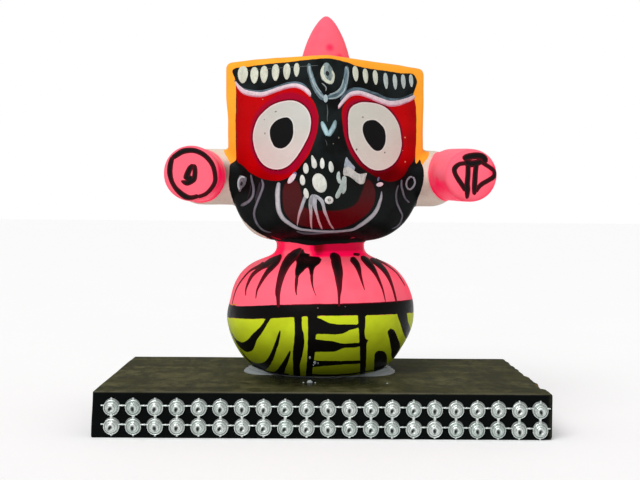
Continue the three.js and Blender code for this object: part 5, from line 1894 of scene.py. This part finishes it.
def press_glue(settings):
    """The glue that was squeezed out round the foot, with a mound on either side."""
    angle = np.linspace(0, 2 * math.pi, GLUE_SIDES, endpoint=False)
    thickness = settings.thickness / MM
    top = PLINTH_TOP_Z + thickness
    mounds = sum(lobe(angle, *mound) for mound in GLUE_MOUNDS)
    wide_mounds = sum(lobe(angle, degrees, half * 1.2) for degrees, half in GLUE_MOUNDS)
    rise = settings.mound_height / MM * mounds
    reach = (
        FOOT_RADIUS + GLUE_SPREAD + GLUE_TONGUE * lobe(angle, -90, 1.1) + GLUE_MOUND_SPREAD * wide_mounds
        + 0.25 * np.sin(angle * 5 + 0.7) + 0.12 * np.sin(angle * 13 + 2.0)
    )
    inner = FOOT_RADIUS + 0.55 + 0.75 * rise
    film = 0.34 + 0.66 * np.clip(mounds + 0.25, 0, 1)
    held_back = ease(lobe(angle, *GLUE_GAP), *GLUE_GAP_EDGES)
    rows = []
    for outward, lift in ((0.9, 0.0), (0.78, 0.16), (0.5, 0.42), (0.15, 0.72), (-0.25, 0.93), (-0.7, 1.0)):
        radius = reach + outward * 0.9
        radius = np.maximum(radius, inner + 0.3)
        rows.append((radius, PLINTH_TOP_Z + (thickness * film + 0.5 * rise) * lift - GLUE_SUNK * (lift == 0)))
    rows.append(((reach + inner) / 2, PLINTH_TOP_Z + thickness * film + 0.78 * rise))
    rows.append((inner, top + rise))
    rows.append((inner - 0.3, top + rise * 0.96))
    rows.append((np.full(GLUE_SIDES, FOOT_RADIUS - 0.4), np.full(GLUE_SIDES, top)))
    rings = []
    for radius, height in rows:
        radius = radius - GLUE_GAP_DEPTH * held_back
        height = np.minimum(height, top) * held_back + height * (1 - held_back)
        x = BODY_AXIS[0] + radius * np.cos(angle)
        y = BODY_AXIS[1] + radius * np.sin(angle)
        rings.append(np.column_stack([x, y, height * np.ones(GLUE_SIDES)]))
    shells = [skin(rings)]
    for x, y, radius, height in GLUE_SPLASHES:
        drop = []
        for turn in np.radians((-60, -25, 5, 30, 55, 78)):
            level = PLINTH_TOP_Z + 0.1 + height * math.sin(turn)
            drop.append(level_ring((x, y), radius * math.cos(turn), level, SPLASH_SIDES))
        shells.append(skin(drop))
    points, faces = gathered(shells)
    points[:, 2] = np.maximum(points[:, 2], PLINTH_TOP_Z - GLUE_SUNK)
    piece = placed("glue_pad", mesh_from("glue_pad", points, faces))
    around = np.arctan2(points[:, 1] - BODY_AXIS[1], points[:, 0] - BODY_AXIS[0])
    milky = sum(lobe(around, degrees, half * 1.5) for degrees, half in GLUE_MOUNDS)
    # Milky mounds, and a painted highlight on the splashes in front
    note(piece.data, "milk", np.maximum(np.clip(1.4 * milky, 0, 1), points[:, 1] < -12.0))
    piece.data.materials.append(clear_glue(settings))
    return piece


def stud_prototype(radius, height):
    """One stud at the origin, standing out along -Y: rim, groove, facets and an off-centre dimple."""
    sides = 40
    turn = np.arange(sides) / sides * 2 * math.pi
    facet = math.pi / 6
    bend = math.cos(facet / 2) / np.cos((turn % facet) - facet / 2)
    profile = [
        (1.0, 0.0), (1.0, 0.24), (0.975, 0.33), (0.93, 0.37), (0.885, 0.34), (0.85, 0.26), (0.8, 0.36),
        (0.7, 0.6), (0.6, 0.72), (0.56, 0.7), (0.5, 0.86), (0.4, 0.97), (0.34, 0.96), (0.24, 0.9),
        (0.14, 0.78), (0.06, 0.66),
    ]
    # Darkness of each ring: painted shade in the groove and towards the middle
    hollows = [0, 0, 0, 0, 0.3, 0.7, 0.25, 0.0, 0.15, 0.45, 0.1, 0, 0.1, 0.25, 0.5, 0.6]
    rings = []
    shades = []
    for (share, lift), hollow in zip(profile, hollows):
        faceted = 0.35 < share < 0.84
        wide = radius * share * (bend if faceted else np.ones(sides))
        x = wide * np.cos(turn)
        z = wide * np.sin(turn)
        dimple = np.exp(-(((x + 0.16) / 0.26) ** 2 + ((z + 0.42) / 0.42) ** 2))
        y = -height * lift * np.ones(sides) + 0.42 * dimple * (share < 0.84)
        rings.append(np.column_stack([x, y, z]))
        # The dimple's dark is a painted reflection
        shades.append(np.clip(hollow + 1.25 * dimple * (share < 0.8), 0, 1))
    points, faces = skin(rings)
    shades = np.concatenate([*shades, [0.0], [0.7]])
    # A dark flange just above the stud: a painted crescent of shadow and reflection
    flange = []
    for share, lift in ((1.0, 0.0), (1.0, 0.09), (0.97, 0.13), (0.9, 0.14)):
        ring = circle(radius * share, sides)
        flange.append(np.column_stack([ring[:, 0], np.full(sides, -lift), ring[:, 1] + 0.36]))
    points, faces = gathered([(points, faces), skin(flange)])
    shades = np.concatenate([shades, np.full(len(points) - len(shades), 0.7)])
    mesh = mesh_from("stud", points, faces)
    note(mesh, "hollow", shades)
    flat = [0.3 < abs(face.normal.y) < 0.97 for face in mesh.polygons]
    mesh.polygons.foreach_set("use_smooth", [not facet_face for facet_face in flat])
    return mesh


def bar_prototype(name, half_length, thickness, width, upright, knuckle):
    """A moulded bar at the origin, flat behind and round in front, with a knuckle at its middle."""
    rings = []
    for share in np.linspace(-1, 1, 13):
        swell = 1 + knuckle * math.exp(-(share / 0.16) ** 2)
        arc = np.radians((0, 36, 72, 108, 144, 180))
        across = np.cos(arc) * width / 2 * swell
        out = -np.sin(arc) * thickness * min(swell, 1.1)
        level = np.full(len(arc), share * half_length)
        columns = [across, out, level] if upright else [level, out, across]
        rings.append(np.column_stack(columns))
    points, faces = skin(rings)
    mesh = mesh_from(name, points, faces)
    note(mesh, "hollow", np.full(len(points), 0.12))
    return mesh


def trim_tree():
    """Geometry nodes that string studs, links, ties and cut nubs into a net."""
    inputs = {"Base": "Geometry", "Columns": "Int", "Seed": "Int", "Plating": "Material"}
    for label in (
        "Pitch", "Middle", "Front", "Upper Height", "Upper Slope", "Lower Height", "Lower Slope", "Link Rise",
        "Nub Rise", "Bow",
    ):
        inputs[label] = "Float"
    for label in ("Stud", "Link", "Tie", "Side Nub", "Top Nub", "Foot Nub"):
        inputs[label] = "Object"
    tree, given, result = geometry_tree("string_rhinestones", inputs, "Net")
    joined = add(tree, "GeometryNodeJoinGeometry")
    pitch = given["Pitch"]
    span = times(tree, reckon(tree, "SUBTRACT", given["Columns"], 1.0), pitch)
    half_span = times(tree, span, 0.5)

    def vector(x, y, z):
        """A vector from three numbers."""
        made = add(tree, "ShaderNodeCombineXYZ")
        give(tree, made.inputs, X=x, Y=y, Z=z)
        return made.outputs[0]

    def chance(kind, seed_shift, **limits):
        """A random value for each copy."""
        made = add(tree, "FunctionNodeRandomValue", data_type=kind)
        give(tree, made.inputs, Seed=reckon(tree, "ADD", given["Seed"], float(seed_shift)), **limits)
        return socket(made.outputs, "Value")

    def row(
        height, slope, stock, fewer=0, first=0.0, spread=1.0, lift=0.0, turns=None, count=None, seed_shift=0,
    ):
        """Copies of one prototype along a row; the first is that many pitches from the row's start."""
        shift = reckon(tree, "SUBTRACT", times(tree, pitch, first), half_span)
        start_x = reckon(tree, "ADD", shift, given["Middle"])
        start_z = reckon(tree, "ADD", reckon(tree, "MULTIPLY_ADD", shift, slope, height), lift)
        step = times(tree, pitch, spread)
        line = add(tree, "GeometryNodeMeshLine", mode="OFFSET")
        give(
            tree, line.inputs, Count=count or reckon(tree, "SUBTRACT", given["Columns"], float(fewer)),
            Start_Location=vector(start_x, given["Front"], start_z),
            Offset=vector(step, 0.0, times(tree, step, slope)),
        )
        toned = add(tree, "GeometryNodeStoreNamedAttribute", data_type="FLOAT", domain="POINT")
        tone = chance("FLOAT", seed_shift + 1)
        give(tree, toned.inputs, Name="stud_tone", Geometry=line.outputs[0], Value=tone)
        source = add(tree, "GeometryNodeObjectInfo")
        give(tree, source.inputs, Object=given[stock])
        copies = add(tree, "GeometryNodeInstanceOnPoints")
        give(tree, copies.inputs, Points=toned.outputs[0], Instance=source.outputs["Geometry"])
        if turns:
            tip, spin = turns
            limits = {"Min": (-tip, -spin, -tip), "Max": (tip, spin, tip)}
            give(tree, copies.inputs, Rotation=chance("FLOAT_VECTOR", seed_shift, **limits))
        tree.links.new(copies.outputs[0], joined.inputs[0])

    upper = (given["Upper Height"], given["Upper Slope"])
    lower = (given["Lower Height"], given["Lower Slope"])
    middle = [times(tree, reckon(tree, "ADD", *both), 0.5) for both in zip(upper, lower)]
    reach = reckon(tree, "MULTIPLY_ADD", pitch, NUB_REACH, span)
    ends = reckon(tree, "ADD", reckon(tree, "DIVIDE", reach, pitch), NUB_REACH)
    rise = given["Link Rise"]
    for shift, line in ((0, upper), (10, lower)):
        row(*line, "Stud", turns=(0.05, 0.5), seed_shift=shift)
        row(*line, "Link", fewer=1, first=0.5, lift=rise, turns=(0.0, 0.02), seed_shift=shift + 5)
        row(*line, "Side Nub", first=-NUB_REACH, spread=ends, lift=rise, count=2, seed_shift=shift + 6)
    row(*middle, "Tie", turns=(0.0, 0.05), seed_shift=30)
    row(*upper, "Top Nub", lift=given["Nub Rise"], turns=(0.0, 0.12), seed_shift=31)
    row(*lower, "Foot Nub", lift=times(tree, given["Nub Rise"], -0.96), seed_shift=32)
    spot = add(tree, "ShaderNodeSeparateXYZ")
    feed(tree, spot.inputs[0], add(tree, "GeometryNodeInputPosition").outputs[0])
    aside = reckon(tree, "DIVIDE", reckon(tree, "SUBTRACT", spot.outputs["X"], given["Middle"]), half_span)
    bow = times(tree, reckon(tree, "SUBTRACT", 1.0, times(tree, aside, aside)), given["Bow"])
    bowed = add(tree, "GeometryNodeSetPosition")
    strung = finished(tree, joined.outputs[0], given["Plating"])
    give(tree, bowed.inputs, Geometry=strung, Offset=vector(bow, 0.0, 0.0))
    feed(tree, result, bowed.outputs[0])
    return tree


def string_trim(settings):
    """The rhinestone net on the plinth's front."""
    between = (UPPER_ROW[0] - LOWER_ROW[0]) / 2
    radius = settings.stud_radius / MM
    half_link = settings.pitch / MM / 2 - radius + 0.35
    stock = {
        "Stud": stud_prototype(radius, settings.stud_height / MM),
        "Link": bar_prototype("link", half_link, LINK_THICKNESS, LINK_THICKNESS, False, 0.35),
        "Tie": bar_prototype("tie", between - radius + 0.5, LINK_THICKNESS, TIE_WIDTH, True, -0.25),
        "Side Nub": bar_prototype("side_nub", 0.37, LINK_THICKNESS, LINK_THICKNESS, False, 0.1),
        "Top Nub": bar_prototype("top_nub", 0.34, LINK_THICKNESS * 0.9, TIE_WIDTH * 0.62, True, 0.1),
        "Foot Nub": bar_prototype("foot_nub", 0.17, LINK_THICKNESS * 0.8, TIE_WIDTH * 0.62, True, 0.1),
    }
    piece = placed("rhinestone_net", bpy.data.meshes.new("rhinestone_net"))
    stringing = piece.modifiers.new("strung_net", "NODES")
    stringing.node_group = trim_tree()
    values = {
        "Columns": settings.columns, "Pitch": settings.pitch, "Middle": TRIM_MIDDLE_X * MM,
        "Front": PLINTH_FRONT_Y * MM, "Upper Height": settings.upper_row, "Upper Slope": UPPER_ROW[1],
        "Lower Height": settings.lower_row, "Lower Slope": LOWER_ROW[1], "Link Rise": LINK_RISE * MM,
        "Nub Rise": (radius + 0.2) * MM, "Bow": TRIM_BOW * MM, "Seed": settings.seed,
        "Plating": trim_plating(settings),
    }
    spares = []
    for label, mesh in stock.items():
        spares.append(placed("spare_" + mesh.name, mesh))
        values[label] = spares[-1]
    for label, value in values.items():
        stringing[socket_identifier(stringing.node_group, label)] = value
    settle(piece)
    for spare in spares:
        bpy.data.objects.remove(spare)
    return piece


# Stage

def set_stage(settings):
    """Pale floor, soft light all round, one soft light at the upper left, and the camera."""
    scene = bpy.context.scene
    mesh = bpy.data.meshes.new("pale_floor")
    corners = [(x * FLOOR_HALF, y * FLOOR_HALF, 0) for x, y in ((-1, -1), (1, -1), (1, 1), (-1, 1))]
    mesh.from_pydata(corners, [], [(0, 1, 2, 3)])
    floor = placed("pale_floor", mesh)
    mesh.materials.append(floor_paint(settings))

    sky = bpy.data.worlds.new("pale_sky")
    sky.use_nodes = True
    tree = sky.node_tree
    shining = tree.nodes["Background"]
    shining.inputs["Color"].default_value = (1.0, 1.0, 1.0, 1.0)
    shining.inputs["Strength"].default_value = settings.sky_strength
    seen = add(tree, "ShaderNodeBackground")
    seen.inputs["Color"].default_value = (1.0, 1.0, 1.0, 1.0)
    choice = add(tree, "ShaderNodeMixShader")
    tree.links.new(add(tree, "ShaderNodeLightPath").outputs["Is Camera Ray"], choice.inputs[0])
    tree.links.new(shining.outputs[0], choice.inputs[1])
    tree.links.new(seen.outputs[0], choice.inputs[2])
    tree.links.new(choice.outputs[0], tree.nodes["World Output"].inputs["Surface"])
    scene.world = sky

    light = bpy.data.lights.new("soft_key", "SUN")
    light.energy = settings.key_strength
    light.angle = math.radians(40.0)
    key = bpy.data.objects.new("soft_key", light)
    key.location = KEY_PLACE
    key.rotation_mode = "QUATERNION"
    key.rotation_quaternion = Vector(KEY_PLACE).to_track_quat("Z", "Y")
    scene.collection.objects.link(key)

    yaw, pitch, roll = (math.radians(value) for value in CAMERA_TURNS)
    ahead = Vector((math.sin(yaw) * math.cos(pitch), math.cos(yaw) * math.cos(pitch), -math.sin(pitch)))
    right = ahead.cross(Vector((0, 0, 1))).normalized()
    up = right.cross(ahead)
    level_right = right * math.cos(roll) + up * math.sin(roll)
    level_up = up * math.cos(roll) - right * math.sin(roll)
    lens = bpy.data.cameras.new("photo_view")
    lens.lens = settings.lens
    lens.sensor_width = 36.0
    lens.clip_start = 0.01
    lens.clip_end = 20.0
    camera = bpy.data.objects.new("photo_view", lens)
    turned = Matrix((level_right, level_up, -ahead)).transposed()
    camera.matrix_world = Matrix.Translation(Vector(CAMERA_PLACE) * MM) @ turned.to_4x4()
    scene.collection.objects.link(camera)
    scene.camera = camera
    scene.view_settings.view_transform = "Standard"


# Operators and panel

def brush_on(paints, name, mark):
    """Lays one set of brush marks on the figure and hands them over."""
    marks = BrushMarks(paints.rise / MM)
    mark(marks, paints)
    piece = marks.laid_on(bpy.data.objects["painted_figure"], name, brush_paint())
    hand_over(piece, None)


class FIGURE_OT_cast(bpy.types.Operator):
    """Casts the figure and paints its broad areas"""

    bl_idname = "painted_figure.cast"
    bl_label = "Cast and Paint Figure"

    def execute(self, context):
        piece = cast_figure(context.scene.figure_casting)
        hand_over(piece, "figure")
        return {"FINISHED"}


class FIGURE_OT_brush_face(bpy.types.Operator):
    """Lays the fine brush strokes on the face"""

    bl_idname = "painted_figure.brush_face"
    bl_label = "Brush Face"

    def execute(self, context):
        brush_on(context.scene.figure_brushwork, "face_brushwork", mark_face)
        return {"FINISHED"}


class FIGURE_OT_brush_body(bpy.types.Operator):
    """Lays the black strokes on collar and skirt"""

    bl_idname = "painted_figure.brush_body"
    bl_label = "Brush Body"

    def execute(self, context):
        brush_on(context.scene.figure_brushwork, "body_brushwork", mark_body)
        return {"FINISHED"}


class FIGURE_OT_brush_hands(bpy.types.Operator):
    """Lays the emblems on the two hands"""

    bl_idname = "painted_figure.brush_hands"
    bl_label = "Brush Hands"

    def execute(self, context):
        brush_on(context.scene.figure_brushwork, "hand_brushwork", mark_hands)
        return {"FINISHED"}


class FIGURE_OT_plinth(bpy.types.Operator):
    """Shapes and paints the wooden plinth"""

    bl_idname = "painted_figure.plinth"
    bl_label = "Shape Plinth"

    def execute(self, context):
        hand_over(shape_plinth(context.scene.figure_plinth), "plinth")
        return {"FINISHED"}


class FIGURE_OT_glue(bpy.types.Operator):
    """Presses out the clear glue and its drops"""

    bl_idname = "painted_figure.glue"
    bl_label = "Press Glue"

    def execute(self, context):
        settings = context.scene.figure_glue
        hand_over(press_glue(settings), "glue_bead")
        marks = BrushMarks(0.3)
        for drop in GLUE_DROPS:
            marks.dab(*drop, aim=aim_round)
        drops = marks.laid_on(bpy.data.objects["painted_figure"], "glue_drops", clear_glue(settings))
        # Painted highlight: the small drops are whitened
        note(drops.data, "milk", np.full(len(drops.data.vertices), 0.6))
        hand_over(drops, None)
        return {"FINISHED"}


class FIGURE_OT_trim(bpy.types.Operator):
    """Strings the rhinestone net along the plinth's front"""

    bl_idname = "painted_figure.trim"
    bl_label = "String Rhinestones"

    def execute(self, context):
        hand_over(string_trim(context.scene.figure_trim), "rhinestone_trim")
        return {"FINISHED"}


class FIGURE_OT_stage(bpy.types.Operator):
    """Sets the pale floor, the soft light and the camera"""

    bl_idname = "painted_figure.stage"
    bl_label = "Set Stage"

    def execute(self, context):
        set_stage(context.scene.figure_stage)
        return {"FINISHED"}


OPERATORS = (
    FIGURE_OT_stage, FIGURE_OT_cast, FIGURE_OT_brush_face, FIGURE_OT_brush_body, FIGURE_OT_brush_hands,
    FIGURE_OT_plinth, FIGURE_OT_glue, FIGURE_OT_trim,
)
SETTINGS = {
    "figure_casting": CastingSettings, "figure_brushwork": BrushSettings, "figure_plinth": PlinthSettings,
    "figure_glue": GlueSettings, "figure_trim": TrimSettings, "figure_stage": StageSettings,
}


class FIGURE_PT_steps(bpy.types.Panel):
    """Lists the steps that build the figure, with their settings"""

    bl_idname = "FIGURE_PT_steps"
    bl_label = "Painted Figure"
    bl_space_type = "VIEW_3D"
    bl_region_type = "UI"
    bl_category = "Painted Figure"

    def draw(self, context):
        for step in OPERATORS:
            self.layout.operator(step.bl_idname)
        for name, group in SETTINGS.items():
            box = self.layout.box()
            box.label(text=group.__doc__)
            for setting in group.__annotations__:
                box.prop(getattr(context.scene, name), setting)


CLASSES = (*SETTINGS.values(), *OPERATORS, FIGURE_PT_steps)


def register():
    """Makes the settings, steps and panel known."""
    for item in CLASSES:
        bpy.utils.register_class(item)
    for name, group in SETTINGS.items():
        setattr(bpy.types.Scene, name, bpy.props.PointerProperty(type=group))


def unregister():
    """Takes the settings, steps and panel away again."""
    for name in SETTINGS:
        delattr(bpy.types.Scene, name)
    for item in reversed(CLASSES):
        bpy.utils.unregister_class(item)


def main():
    """Builds the whole object."""
    register()
    bpy.ops.painted_figure.stage()
    bpy.ops.painted_figure.cast()
    bpy.ops.painted_figure.brush_face()
    bpy.ops.painted_figure.brush_body()
    bpy.ops.painted_figure.brush_hands()
    bpy.ops.painted_figure.plinth()
    bpy.ops.painted_figure.glue()
    bpy.ops.painted_figure.trim()


if __name__ == "__main__":
    main()
